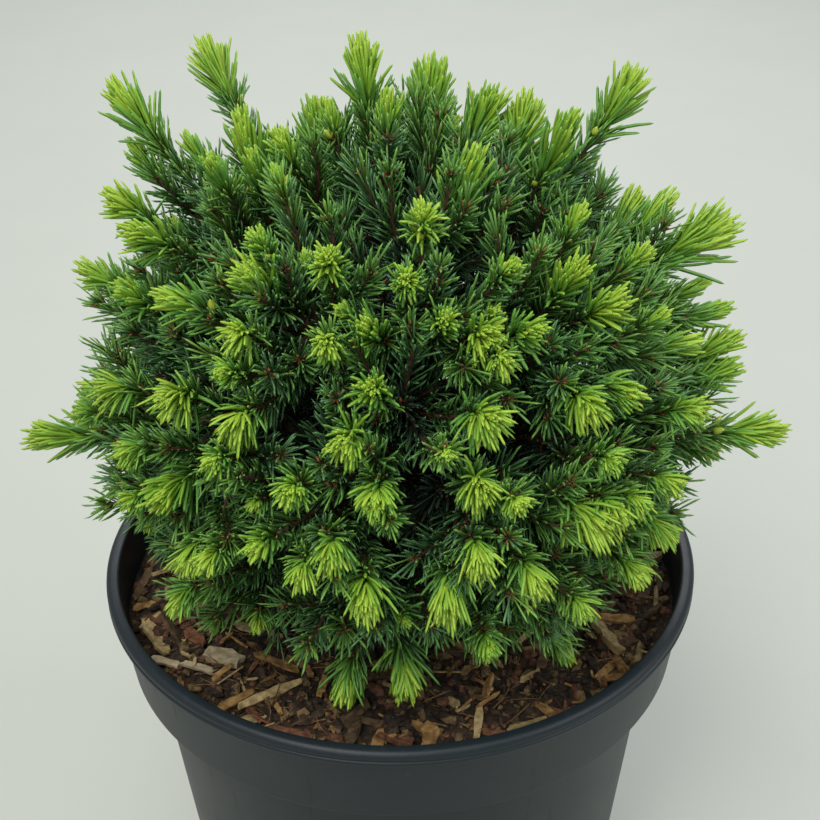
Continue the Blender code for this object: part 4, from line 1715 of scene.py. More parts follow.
    def shade_of(self, spots: np.ndarray, age_and_shade: float) -> np.ndarray:
        """Deal out the shades of mature needles: painted light near the crown's surface, painted shade
        inside.

        Args:
            spots: Foot of each needle.
            age_and_shade: How much darker they are than others at their depth, by age and by painted shade.

        Returns:
            The finish of each needle.
        """
        outward = self.outward(Vector(spots[-1]))
        reach = self.crown.lobed_reach(outward)
        depth = 1.0 - np.linalg.norm(spots - np.array(self.crown.hub[:]), axis=1) / reach
        scatter = self.grains.uniform(-self.tone_scatter, self.tone_scatter, len(spots))
        # Painted shade: the deeper a needle stands in the crown, the darker its shade.
        tone = depth * self.shade_by_depth + age_and_shade + scatter
        middle = BLUISH if self.rng.random() < self.bluish_share else MATURE
        bounds = (self.light_tone, self.mature_tone, self.shaded_tone, self.old_and_shaded_tone)
        shades = np.array((PAINTED_LIT, middle, SHADED, OLD_AND_SHADED, PAINTED_SHADOW), dtype=object)
        return shades[np.searchsorted(bounds, tone)]

    def add_mature(self, path: Path, start: float, end: float, age_and_shade: float, thick: float) -> None:
        """Add last years' needles along a twig.

        Args:
            path: The twig's curve.
            start: Place along it where they begin.
            end: Place where they end.
            age_and_shade: How much darker they are than others at their depth, by age and by painted shade.
            thick: Share of the usual number.
        """
        count = int(path.length() * (end - start) * self.needles_per_metre * thick)
        if count < 1:
            return
        grains = self.grains
        shares = np.linspace(start, end, count) + grains.uniform(-0.01, 0.01, count)
        spots = path.at(shares)
        axes = path.heading(shares)
        turns = np.arange(count) * GOLDEN_ANGLE + grains.uniform(-0.35, 0.35, count)
        above = self.rise_of(Vector(spots[-1]))
        forward = self.upright_lean * min(1.0, max(0.0, above / self.upright_rise))
        scatter = grains.uniform(-self.mature_scatter, self.mature_scatter, count)
        leans = np.radians(np.linspace(*self.mature_leans, count) - forward + scatter)
        lengths = grains.uniform(*self.mature_length, count)
        curls = grains.normal(*self.mature_curl, count)
        droops = grains.normal(*self.mature_droop, count)
        sways = grains.normal(0.0, self.mature_sway, count)
        spray = Spray(spots, axes, leans, turns, lengths, curls, droops, sways)
        self.add_shaded(spray, age_and_shade)

    def add_shaded(self, spray: Spray, age_and_shade: float) -> None:
        """Add mature needles in their shades.

        Args:
            spray: The needles.
            age_and_shade: How much darker they are than others at their depth, by age and by painted shade.
        """
        shades = self.shade_of(spray.spots, age_and_shade)
        for shade, piece in self.mature.items():
            self.add_needles(piece, spray.some(shades == shade), self.needle_radius)

    def add_ruff(self, base: np.ndarray, axis: np.ndarray, age_and_shade: float, size: float) -> None:
        """Add the mature needles that stand forward round the end of last year's wood.

        Args:
            base: Where that wood ends.
            axis: Unit direction of the wood there.
            age_and_shade: How much darker they are than others at their depth, by age and by painted shade.
            size: Scale of the needles.
        """
        grains = self.grains
        count = self.ruff_needles
        spots = base - axis * grains.uniform(0.0, self.ruff_depth, count)[:, None]
        axes = np.repeat(axis[None], count, axis=0)
        leans = np.radians(grains.uniform(*self.ruff_leans, count))
        turns = np.arange(count) * GOLDEN_ANGLE + grains.uniform(-0.3, 0.3, count)
        lengths = grains.uniform(*self.ruff_length, count) * size
        curls = grains.normal(*self.ruff_curl, count)
        droops = grains.normal(*self.ruff_droop, count)
        sways = grains.normal(0.0, self.mature_sway, count)
        self.add_shaded(Spray(spots, axes, leans, turns, lengths, curls, droops, sways), age_and_shade)

    def add_flush(self, base: np.ndarray, axis: np.ndarray, form: FlushForm, size: float) -> None:
        """Add a tuft of new needles, greener at its foot and lime inside.

        Args:
            base: Where last year's wood ends.
            axis: Unit direction of the wood there.
            form: The tuft's sizes.
            size: Scale of the tuft.
        """
        grains = self.grains
        fixed, growing = self.new_count_shares
        count = int(form.needles * (fixed + growing * size))
        if not count:
            return
        place = np.sqrt(np.linspace(0.0, 1.0, count))
        nodding = unit(axis - np.array((0.0, 0.0, form.nod)))
        spots = base + nodding * (place * form.axis * size)[:, None]
        axes = np.repeat(nodding[None], count, axis=0)
        out, inner = form.leans
        scatter = grains.normal(0.0, self.new_lean_scatter, count)
        leans = np.radians(out + (inner - out) * place**self.new_lean_fall + scatter)
        turns = np.arange(count) * GOLDEN_ANGLE + grains.uniform(-0.45, 0.45, count)
        shorter = 1.0 - self.inner_shortening * place
        lengths = form.length * size * grains.uniform(*self.new_lengths, count) * shorter
        lengths[place > self.heart] *= self.heart_length
        least, more = self.new_curls
        curls = form.curl * (least + more * place) + grains.normal(0.0, self.new_curl_scatter, count)
        curls[place > self.heart] += self.heart_curl
        scatter = grains.normal(0.0, self.new_droop_scatter * form.sway, count)
        droops = form.droop * (self.new_droop_foot - place) + scatter
        sways = grains.normal(0.0, form.sway, count)
        lengths /= np.sqrt(1.0 + droops**2)
        spray = Spray(spots, axes, leans, turns, lengths, curls, droops, sways)
        scatter = grains.uniform(-self.band_scatter, self.band_scatter, count)
        band = place + scatter + self.rng.uniform(*self.band_shift)
        fixed, growing = self.new_width_shares
        radius = self.new_needle_radius * (fixed + growing * size)
        for shade, low, high in self.bands:
            self.add_needles(self.new[shade], spray.some((band >= low) & (band < high)), radius)

    def add_scales(self, spot: np.ndarray, axis: np.ndarray, count: int, size: float) -> None:
        """Add a collar of papery rust-brown bud scales.

        Args:
            spot: Middle of the collar.
            axis: Direction of the wood.
            count: Number of scales.
            size: Scale of the collar.
        """
        grains = self.grains
        axes = np.repeat(axis[None], count, axis=0)
        turns = np.arange(count) * GOLDEN_ANGLE + grains.uniform(0.0, 1.0)
        leans = np.radians(grains.uniform(*self.scale_leans, count))
        out, along = spread(axes, turns, leans)
        scatter = grains.uniform(-self.scale_scatter, self.scale_scatter, count)
        spots = spot + out * self.scale_ring * size + axis * scatter[:, None]
        lengths = grains.uniform(*self.scale_lengths, count) * size
        bend = out * (lengths * self.scale_bend)[:, None]
        wide = np.full(count, self.scale_width * size)
        self.scales.place(spots, along, lengths, wide, wide * self.scale_flatness, bend, turns)

    def add_bud(self, spot: np.ndarray, axis: np.ndarray, size: float) -> None:
        """Add a small yellow-green bud.

        Args:
            spot: Its foot.
            axis: Unit direction that it points in.
            size: Its scale.
        """
        one = np.ones(1)
        length, radius = one * self.bud_length * size, one * self.bud_radius * size
        self.buds.place(spot[None], axis[None], length, radius, radius, np.zeros((1, 3)), one * 0.0)

    def form_at(self, rise: float) -> FlushForm:
        """Deal out how far a tuft has opened by its rise in degrees, closed ones mostly at the top."""
        shares = next(shares for lowest, shares in FLUSH_SHARES if rise > lowest)
        return FLUSH_FORMS[self.rng.choices(list(shares), list(shares.values()))[0]]

    def side_heading(self, axis: Vector, lean: float, turn: float) -> Vector:
        """Direction at a lean from an axis, turned round it, both in radians."""
        side = Matrix.Rotation(turn, 3, axis) @ axis.orthogonal().normalized()
        return (axis * math.cos(lean) + side * math.sin(lean)).normalized()

    def outward(self, point: Vector) -> Vector:
        """Unit direction of a point from the hub."""
        return (point - self.crown.hub).normalized()

    def rise_of(self, point: Vector) -> float:
        """Rise of a point from the hub in degrees."""
        return rise_in_degrees(self.outward(point))

    def is_seen(self, point: Vector) -> bool:
        """Whether a point is on the side of the crown that the photo shows."""
        return self.outward(point).dot(self.crown.direction(0.0, self.seen_rise)) > self.seen_side

    def in_pocket(self, outward: Vector) -> bool:
        """Whether a direction from the hub falls in one of the dark pockets between the shoots."""
        return noise.noise(outward * self.pocket_scale + Vector(self.pocket_shift)) < self.pocket_level

    def in_cleft(self, outward: Vector) -> bool:
        """Whether a direction from the hub falls in one of the dark clefts that the photo shows."""
        return any(outward.angle(middle) < half for middle, half in self.clefts)

    def grow_shoot(self, shoot: Shoot) -> None:
        """Grow one shoot: wood, mature needles, forks, and a tuft with its scales and sometimes buds."""
        rng = self.rng
        path = Path.through(shoot.root, shoot.bend, shoot.tip)
        wood_end = path.share_before(shoot.form.reach() * shoot.tuft)
        self.add_twig(path, self.shoot_wood, wood_end)
        age_and_shade = rng.uniform(-self.age_scatter, self.age_scatter)
        if not shoot.tuft:
            # Needles of tuftless shoots in the dark clefts get painted shadow.
            age_and_shade += self.cleft_painted_shade if self.in_cleft(self.outward(shoot.tip)) else self.quiet_age
        self.add_mature(path, self.bare_share, min(1.0, wood_end + 0.01), age_and_shade, shoot.thick)
        base, axis = path.at(wood_end)[0], path.heading(wood_end)[0]
        self.add_ruff(base, axis, age_and_shade, self.quiet_ruff + (1.0 - self.quiet_ruff) * shoot.tuft)
        self.add_flush(base, axis, shoot.form, shoot.tuft)
        self.add_scales(base, axis, self.scale_counts[0], self.shoot_scales)
        for _ in range(shoot.buds):
            lean = math.radians(rng.uniform(*self.bud_leans))
            beside = np.array(self.side_heading(Vector(axis), lean, rng.uniform(0.0, math.tau))[:])
            self.add_bud(base + beside * self.bud_out, beside, rng.uniform(*self.bud_sizes))
        self.grow_forks(path, wood_end)

    def grow_forks(self, path: Path, wood_end: float) -> None:
        """Grow short side twigs from a shoot, where their tips have room inside the crown's reach.

        Args:
            path: The shoot's curve.
            wood_end: Place along it where last year's wood ends.
        """
        rng = self.rng
        first, rest = self.fork_shares
        start_turn = rng.uniform(0.0, math.tau)
        for number in range(self.forks_per_shoot):
            share = wood_end * (first + rest * (number + rng.random()) / self.forks_per_shoot)
            foot = Vector(path.at(share)[0])
            axis = Vector(path.heading(share)[0])
            lean = math.radians(rng.uniform(*self.fork_leans))
            away = self.side_heading(axis, lean, start_turn + number * GOLDEN_ANGLE)
            length = rng.uniform(*self.fork_lengths)
            bend = foot + away * length * self.fork_bend
            ahead = (away * self.fork_end + axis * self.fork_end).normalized()
            tip = bend + self.crown.upturned(ahead) * length * self.fork_end
            outward = self.outward(tip)
            allowed = self.crown.lobed_reach(outward) * self.fork_reach
            crowded = any((tip - other).length < self.tip_spacing for other in self.tips)
            too_far = (tip - self.crown.hub).length > allowed or self.in_cleft(outward)
            if too_far or crowded or self.rise_of(tip) < self.crown.lowest_rise - self.fork_room:
                continue
            self.tips.append(tip)
            self.grow_fork(foot, bend, tip)

    def grow_fork(self, foot: Vector, bend: Vector, tip: Vector) -> None:
        """Grow one short side twig, here and there with a small tuft.

        Args:
            foot: Where it leaves its shoot.
            bend: Where it turns towards the light.
            tip: Its furthest point.
        """
        rng = self.rng
        path = Path.through(foot, bend, tip)
        tuft = rng.uniform(*self.fork_sizes) if rng.random() < self.fork_tufts else 0.0
        form = self.form_at(self.rise_of(tip)) if tuft else FLUSH_FORMS[Flush.DORMANT]
        wood_end = max(self.fork_wood_least, path.share_before(form.reach() * tuft))
        self.add_twig(path, self.fork_wood, wood_end)
        self.add_mature(path, self.fork_bare, wood_end, self.fork_age, self.fork_thick)
        base, axis = path.at(wood_end)[0], path.heading(wood_end)[0]
        self.add_flush(base, axis, form, tuft)
        self.add_scales(base, axis, self.scale_counts[1], self.fork_scales)
        if rng.random() < self.joint_scales:
            self.add_scales(path.at(0.0)[0], path.heading(0.0)[0], self.scale_counts[1], self.shoot_scales)

    def grow_stem(self, leader: Leader, entry: Vector, arriving: Vector) -> None:
        """Grow a mass's stem and the old inner twigs round it.

        Args:
            leader: The mass's leader.
            entry: Where its bough ends.
            arriving: Direction of the bough there.
        """
        rng = self.rng
        crown = self.crown
        end = crown.hub + crown.axis_of(leader) * crown.stem_reach(crown.stem_end, leader.rise)
        stem = Path.through(entry - arriving * self.stem_overlap, entry + arriving * self.stem_lead, end)
        self.add_twig(stem, (crown.bough_radii[1], self.shoot_wood[0]))
        self.add_mature(stem, self.inner_bare, 1.0, self.inner_age_and_shade, self.bough_twig_thick)
        for number in range(self.inner_twigs):
            share = (number + rng.random()) / self.inner_twigs
            foot = Vector(stem.at(share)[0])
            axis = Vector(stem.heading(share)[0])
            lean = math.radians(rng.uniform(*self.inner_leans))
            away = self.side_heading(axis, lean, number * GOLDEN_ANGLE)
            length = rng.uniform(*self.inner_lengths)
            inside_cleft = self.in_cleft(self.outward(foot + away * length))
            if inside_cleft:
                length *= self.cleft_shortening
            bend = foot + away * length / 2
            ahead = (away + axis * self.inner_turn).normalized()
            path = Path.through(foot, bend, bend + ahead * length / 2)
            self.add_twig(path, self.inner_wood)
            # Inner twigs in the dark clefts get painted shadow, the others painted shade and age.
            age_and_shade = self.cleft_painted_shade if inside_cleft else self.inner_age_and_shade
            self.add_mature(path, self.inner_bare, 1.0, age_and_shade, self.inner_thick)

    def grow_inside(self, controls: Curve) -> None:
        """Grow a few old needled twigs on a bough.

        Args:
            controls: Start, bend and end of the bough's curve.
        """
        rng = self.rng
        _, middle, end = controls
        first, rest = self.bough_twig_shares
        for number in range(self.bough_twigs):
            foot = bowed(controls, first + rest * (number + rng.random()) / self.bough_twigs)
            axis = (end - middle).normalized()
            lean = math.radians(rng.uniform(*self.bough_twig_leans))
            away = self.side_heading(axis, lean, rng.uniform(0.0, math.tau))
            length = rng.uniform(*self.bough_twig_lengths)
            tip = foot + (away + axis * self.bough_twig_turn) * length
            path = Path.through(foot, foot + away * length / 2, tip)
            self.add_twig(path, self.inner_wood)
            self.add_mature(path, self.bough_twig_bare, 1.0, self.inner_age_and_shade, self.bough_twig_thick)

    def tip_behind(self, seen: Seen, form: FlushForm, size: float) -> Vector:
        """Tip of a shoot at the crown's reach, whose tuft shows its middle at a place in the photo.

        Args:
            seen: The place in the photo.
            form: The tuft's form.
            size: Its scale.

        Returns:
            The shoot's tip.
        """
        crown = self.crown
        tip = self.view.on_ball(seen, crown.hub, crown.reach)
        for _ in range(self.aim_steps):
            outward = self.outward(tip)
            ahead = self.ahead_of(outward, form, size)
            distance = (outward * crown.lobed_reach(outward) + ahead).length
            tip = self.view.on_ball(seen, crown.hub, distance) - ahead
        return tip

    def ahead_of(self, outward: Vector, form: FlushForm, size: float) -> Vector:
        """How far the middle of a tuft lies from its shoot's tip."""
        end = self.crown.upturned(outward)
        return form.middle(end, size) - end * form.reach() * size

    def stand_leader(self, leader: Leader, shoot: Shoot) -> None:
        """Give the shoot that leads an outstanding mass its tuft and buds, where the photo shows them.

        Args:
            leader: The mass's leader.
            shoot: Its shoot.
        """
        shoot.form = FLUSH_FORMS[Flush.BRUSH]
        shoot.thick = self.standing_thick
        shoot.tuft = self.standing_size
        shoot.buds = 2
        seen = self.seen_leaders.get(leader.name)
        if seen:
            shoot.tuft = seen.size
            ahead = self.ahead_of(self.outward(shoot.tip), shoot.form, shoot.tuft)
            shoot.shift(self.view.nearest(seen, shoot.tip + ahead) - ahead - shoot.tip)

    def show_seen(self, plans: dict[Leader, list[Shoot]], centres: dict[str, Vector]) -> None:
        """Give each tuft that the photo shows to the nearest shoot, or to a new one that grows there.

        Args:
            plans: Shoots of each mass, which new ones are added to.
            centres: Middle of each mass's space.
        """
        crown = self.crown
        own = [shoot for shoots in plans.values() for shoot in shoots]
        for region, seen in ((name, seen) for name, tufts in self.seen_tufts.items() for seen in tufts):
            rise = self.rise_of(self.view.on_ball(seen, crown.hub, crown.reach))
            form = self.form_at(90.0 if region in self.upright_regions else rise)
            if rise < self.skirt_rise:
                form = FLUSH_FORMS[Flush.FANNED]
            size = seen.size * self.seen_size * (self.high_size if rise > self.high_rise else 1.0)
            tip = self.tip_behind(seen, form, size)
            free = [shoot for shoot in own if not shoot.tuft]
            nearest = min(free, key=lambda shoot: (shoot.tip - tip).length)
            if (nearest.tip - tip).length > self.seen_room:
                leader = min(plans, key=lambda leader: (centres[leader.name] - tip).length)
                nearest = Shoot(*crown.shoot_towards(leader, tip, self.rng))
                plans[leader].append(nearest)
            nearest.shift(tip - nearest.tip)
            self.give_tuft(nearest, form, size)

    def give_tuft(self, shoot: Shoot, form: FlushForm, size: float) -> None:
        """Give a shoot a tuft, and here and there a side bud or two.

        Args:
            shoot: The shoot.
            form: The tuft's form.
            size: Its scale.
        """
        shoot.form = form
        shoot.tuft = size
        if self.rise_of(shoot.tip) > self.bud_rise and self.rng.random() < self.bud_share:
            shoot.buds = self.rng.choice((1, 2))

    def add_between(self, leader: Leader, shoots: list[Shoot], centres: dict[str, Vector]) -> None:
        """Add further shoots to a mass, drawn by the rule, whose tips have room between the others.

        Args:
            leader: The mass's leader.
            shoots: Its shoots, which they are added to.
            centres: Middle of each mass's space.
        """
        crown = self.crown
        found = 0
        for _ in range(self.finer_tries):
            (root, bend, tip), room = crown.draw_shoot(leader, centres, self.rng, self.finer_shares)
            outward = self.outward(tip)
            further = outward * (crown.lobed_reach(outward) - crown.reach_at(self.rise_of(tip)))
            end = tip + further
            spacing = self.seen_spacing if self.is_seen(end) else self.finer_spacing
            spaced = all((end - other).length > spacing for other in self.tips)
            open_side = room > self.finer_margin and not self.in_pocket(outward)
            if found < self.finer_shoots and open_side and spaced:
                found += 1
                shoots.append(Shoot(root, bend + further, end))
                self.tips.append(end)

    def deal_tufts(self, shoots: list[Shoot]) -> None:
        """Give tufts to shoots with room on the unseen side, and draw in every shoot without one.

        Args:
            shoots: Every shoot of the crown.
        """
        crown = self.crown
        tufts = [shoot.tip for shoot in shoots if shoot.tuft]
        for shoot in shoots:
            spaced = all((shoot.tip - other).length > self.tuft_spacing for other in tufts)
            if not shoot.tuft and spaced and not self.is_seen(shoot.tip):
                form = self.form_at(self.rise_of(shoot.tip))
                self.give_tuft(shoot, form, self.rng.uniform(*self.tuft_sizes))
                tufts.append(shoot.tip)
            if not shoot.tuft:
                outward = self.outward(shoot.tip)
                share = self.cleft_reach if self.in_cleft(outward) else self.quiet_reach
                share *= crown.reach_at(self.rise_of(shoot.tip)) / crown.lobed_reach(outward)
                shoot.shift((shoot.tip - crown.hub) * (share - 1.0))

    def plan(self) -> dict[Leader, list[Shoot]]:
        """Plan the shoots: the source's own, those that the photo shows, and finer ones between them.

        Returns:
            The shoots of each mass.
        """
        crown = self.crown
        centres = crown.centres()
        plans = {
            leader: [Shoot(*points) for points in crown.shoots(leader, centres)] for leader in crown.leaders
        }
        for leader, shoots in plans.items():
            if leader.reach > self.standing_reach:
                self.stand_leader(leader, shoots[0])
        self.show_seen(plans, centres)
        self.tips = [shoot.tip for shoots in plans.values() for shoot in shoots]
        for leader, shoots in plans.items():
            self.add_between(leader, shoots, centres)
        self.deal_tufts([shoot for shoots in plans.values() for shoot in shoots])
        return plans

    def build(self) -> None:
        """Grow every mass and join its needles, twigs, buds and scales into pieces."""
        crown = self.crown
        controls = crown.bough_controls()
        for leader, shoots in self.plan().items():
            start, middle, entry = controls[leader.name]
            top = leader.name == crown.top_name
            arriving = Vector((0.0, 0.0, 1.0)) if top else (entry - middle).normalized()
            self.grow_stem(leader, entry, arriving)
            if not top:
                self.grow_inside((start, middle, entry))
            for shoot in shoots:
                self.grow_shoot(shoot)
        for joined in (*self.new.values(), *self.mature.values(), self.twigs, self.buds, self.scales):
            joined.build()


@dataclass
class Pot:
    """The round pot: a rolled lip, a tapered collar, a step, a tapered wall and drain holes."""

    height: float = 0.150
    lip_radius: float = 0.095
    lip_height: float = 0.005
    lip_width: float = 0.0042
    lip_overhang: float = 0.0023
    lip_edges: Span = (0.0010, 0.0018)
    groove_top: float = 0.0023
    groove_width: float = 0.0014
    groove_depth: float = 0.0005
    collar_depth: float = 0.0296
    collar_taper: float = 0.0030
    step_width: float = 0.0069
    wall_taper: float = 0.102
    wall: float = 0.0016
    floor: float = 0.0025
    turn_steps: int = 160
    soft_edge: float = 0.0007
    sharp_angle: float = 38.0
    drain_holes: int = 8
    drain_radius: float = 0.005
    drain_circle: float = 0.052

    def step_height(self) -> float:
        """Height of the step under the collar."""
        return self.height - self.collar_depth

    def inner_wall(self, inset: float) -> list[Span]:
        """Inside of the pot from the floor's edge up to the lip, moved inwards.

        Args:
            inset: How far it is moved in metres.

        Returns:
            Radius and height of each corner.
        """
        collar_foot = self.lip_radius - self.lip_overhang - self.collar_taper
        wall_top = collar_foot - self.step_width
        wall_foot = wall_top - self.wall_taper * self.step_height()
        ledge = self.step_height() + self.wall + inset
        return [
            (wall_foot - self.wall - inset, self.floor + inset),
            (wall_top - self.wall - inset, ledge),
            (collar_foot - self.wall - inset, ledge),
            (self.lip_radius - self.lip_width - inset, self.height - self.lip_height / 2),
        ]

    def outline(self) -> list[Span]:
        """Outline of the pot, from the middle of the floor up the inside and down the outside.

        Returns:
            Radius and height of each corner.
        """
        collar_top = self.lip_radius - self.lip_overhang
        collar_foot = collar_top - self.collar_taper
        wall_top = collar_foot - self.step_width
        wall_foot = wall_top - self.wall_taper * self.step_height()
        inside, outside = self.lip_edges
        corners = (
            (self.lip_radius - self.lip_width + inside, inside, np.linspace(180.0, 90.0, 6)),
            (self.lip_radius - outside, outside, np.linspace(90.0, 0.0, 6)),
        )
        lip = [
            (middle + edge * math.cos(turn), self.height - edge + edge * math.sin(turn))
            for middle, edge, turns in corners
            for turn in np.radians(turns)
        ]
        groove = [
            (
                self.lip_radius - self.groove_depth * (1.0 - math.cos(turn)) / 2,
                self.height - self.groove_top - self.groove_width * turn / math.tau,
            )
            for turn in np.linspace(0.0, math.tau, 9)
        ]
        return [
            (0.0, self.floor),
            *self.inner_wall(0.0),
            *lip,
            *groove,
            (self.lip_radius, self.height - self.lip_height),
            (collar_top, self.height - self.lip_height),
            (collar_foot, self.step_height()),
            (wall_top, self.step_height()),
            (wall_foot, 0.0),
            (0.0, 0.0),
        ]

    def turned(self) -> bmesh.types.BMesh:
        """The outline turned round the pot's axis, with its corners softened.

        Returns:
            The pot without its drain holes.
        """
        shape = turned_round(self.outline(), self.turn_steps)
        bmesh.ops.recalc_face_normals(shape, faces=shape.faces)
        corners = [edge for edge in shape.edges if self.is_corner(edge)]
        bmesh.ops.bevel(
            shape, geom=corners, offset=self.soft_edge, segments=3, profile=0.5, affect="EDGES", material=-1
        )
        return shape

    def is_corner(self, edge: bmesh.types.BMEdge) -> bool:
        """Whether an edge runs round the pot at a sharp corner.

        Args:
            edge: The edge.

        Returns:
            True where it is to be softened.
        """
        first, second = (corner.co for corner in edge.verts)
        level = abs(first.z - second.z) < SAME_PLACE
        round_about = abs(first.xy.length - second.xy.length) < SAME_PLACE < first.xy.length
        return level and round_about and edge.calc_face_angle(0.0) > math.radians(self.sharp_angle)

    def build(self) -> Object:
        """The pot, with its drain holes cut through the floor.

        Returns:
            The piece that replaces the pot's solid.
        """
        pot = from_bmesh("pot_wall", self.turned(), 32.0)
        drill = bmesh.new()
        for hole in range(self.drain_holes):
            spot = Crown.direction(360.0 * hole / self.drain_holes, 0.0) * self.drain_circle
            bmesh.ops.create_cone(
                drill, cap_ends=True, segments=32, radius1=self.drain_radius, radius2=self.drain_radius,
                depth=self.floor * 4, matrix=Matrix.Translation(spot),
            )
        cutter = from_bmesh("drain_drill", drill)
        holes = pot.modifiers.new("drain_holes", "BOOLEAN")
        holes.operation = "DIFFERENCE"
        holes.object = cutter
        holes.solver = "EXACT"
        bpy.context.view_layer.update()
        drilled = bpy.data.meshes.new_from_object(pot.evaluated_get(bpy.context.evaluated_depsgraph_get()))
        pot.modifiers.clear()
        pot.data = drilled
        bpy.data.objects.remove(cutter, do_unlink=True)
        return enter(pot, POT_PLASTIC, ("pot",))


SEEN_CHIPS: dict[Crumbly, tuple[tuple[Seen, Seen], ...]] = {
    CHIP_PALE: (
        (Seen(206, 649, 24), Seen(240, 659)),
        (Seen(150, 650, 10), Seen(188, 660)),
        (Seen(182, 659, 9), Seen(224, 672)),
    ),
    CHIP_TAN: (
        (Seen(143, 612, 15), Seen(166, 646)),
        (Seen(152, 573, 10), Seen(178, 565)),
        (Seen(232, 716, 15), Seen(268, 707)),
        (Seen(240, 704, 12), Seen(302, 680)),
        (Seen(592, 616, 18), Seen(622, 652)),
    ),
    CHIP_ORANGE: (
        (Seen(214, 712, 10), Seen(254, 690)),
        (Seen(376, 746, 13), Seen(381, 726)),
        (Seen(450, 746, 14), Seen(472, 739)),
        (Seen(538, 727, 13), Seen(580, 706)),
        (Seen(255, 652, 10), Seen(298, 668)),
    ),
    CHIP_RED: (
        (Seen(396, 735, 13), Seen(413, 738)),
        (Seen(545, 718, 16), Seen(566, 712)),
        (Seen(186, 628, 13), Seen(204, 640)),
        (Seen(268, 722, 10), Seen(312, 732)),
    ),
    CHIP_DARK: (
        (Seen(598, 670, 12), Seen(648, 656)),
        (Seen(626, 622, 10), Seen(662, 600)),
        (Seen(560, 716, 10), Seen(602, 700)),
        (Seen(640, 640, 8), Seen(618, 662)),
        (Seen(133, 590, 9), Seen(150, 560)),
    ),
}


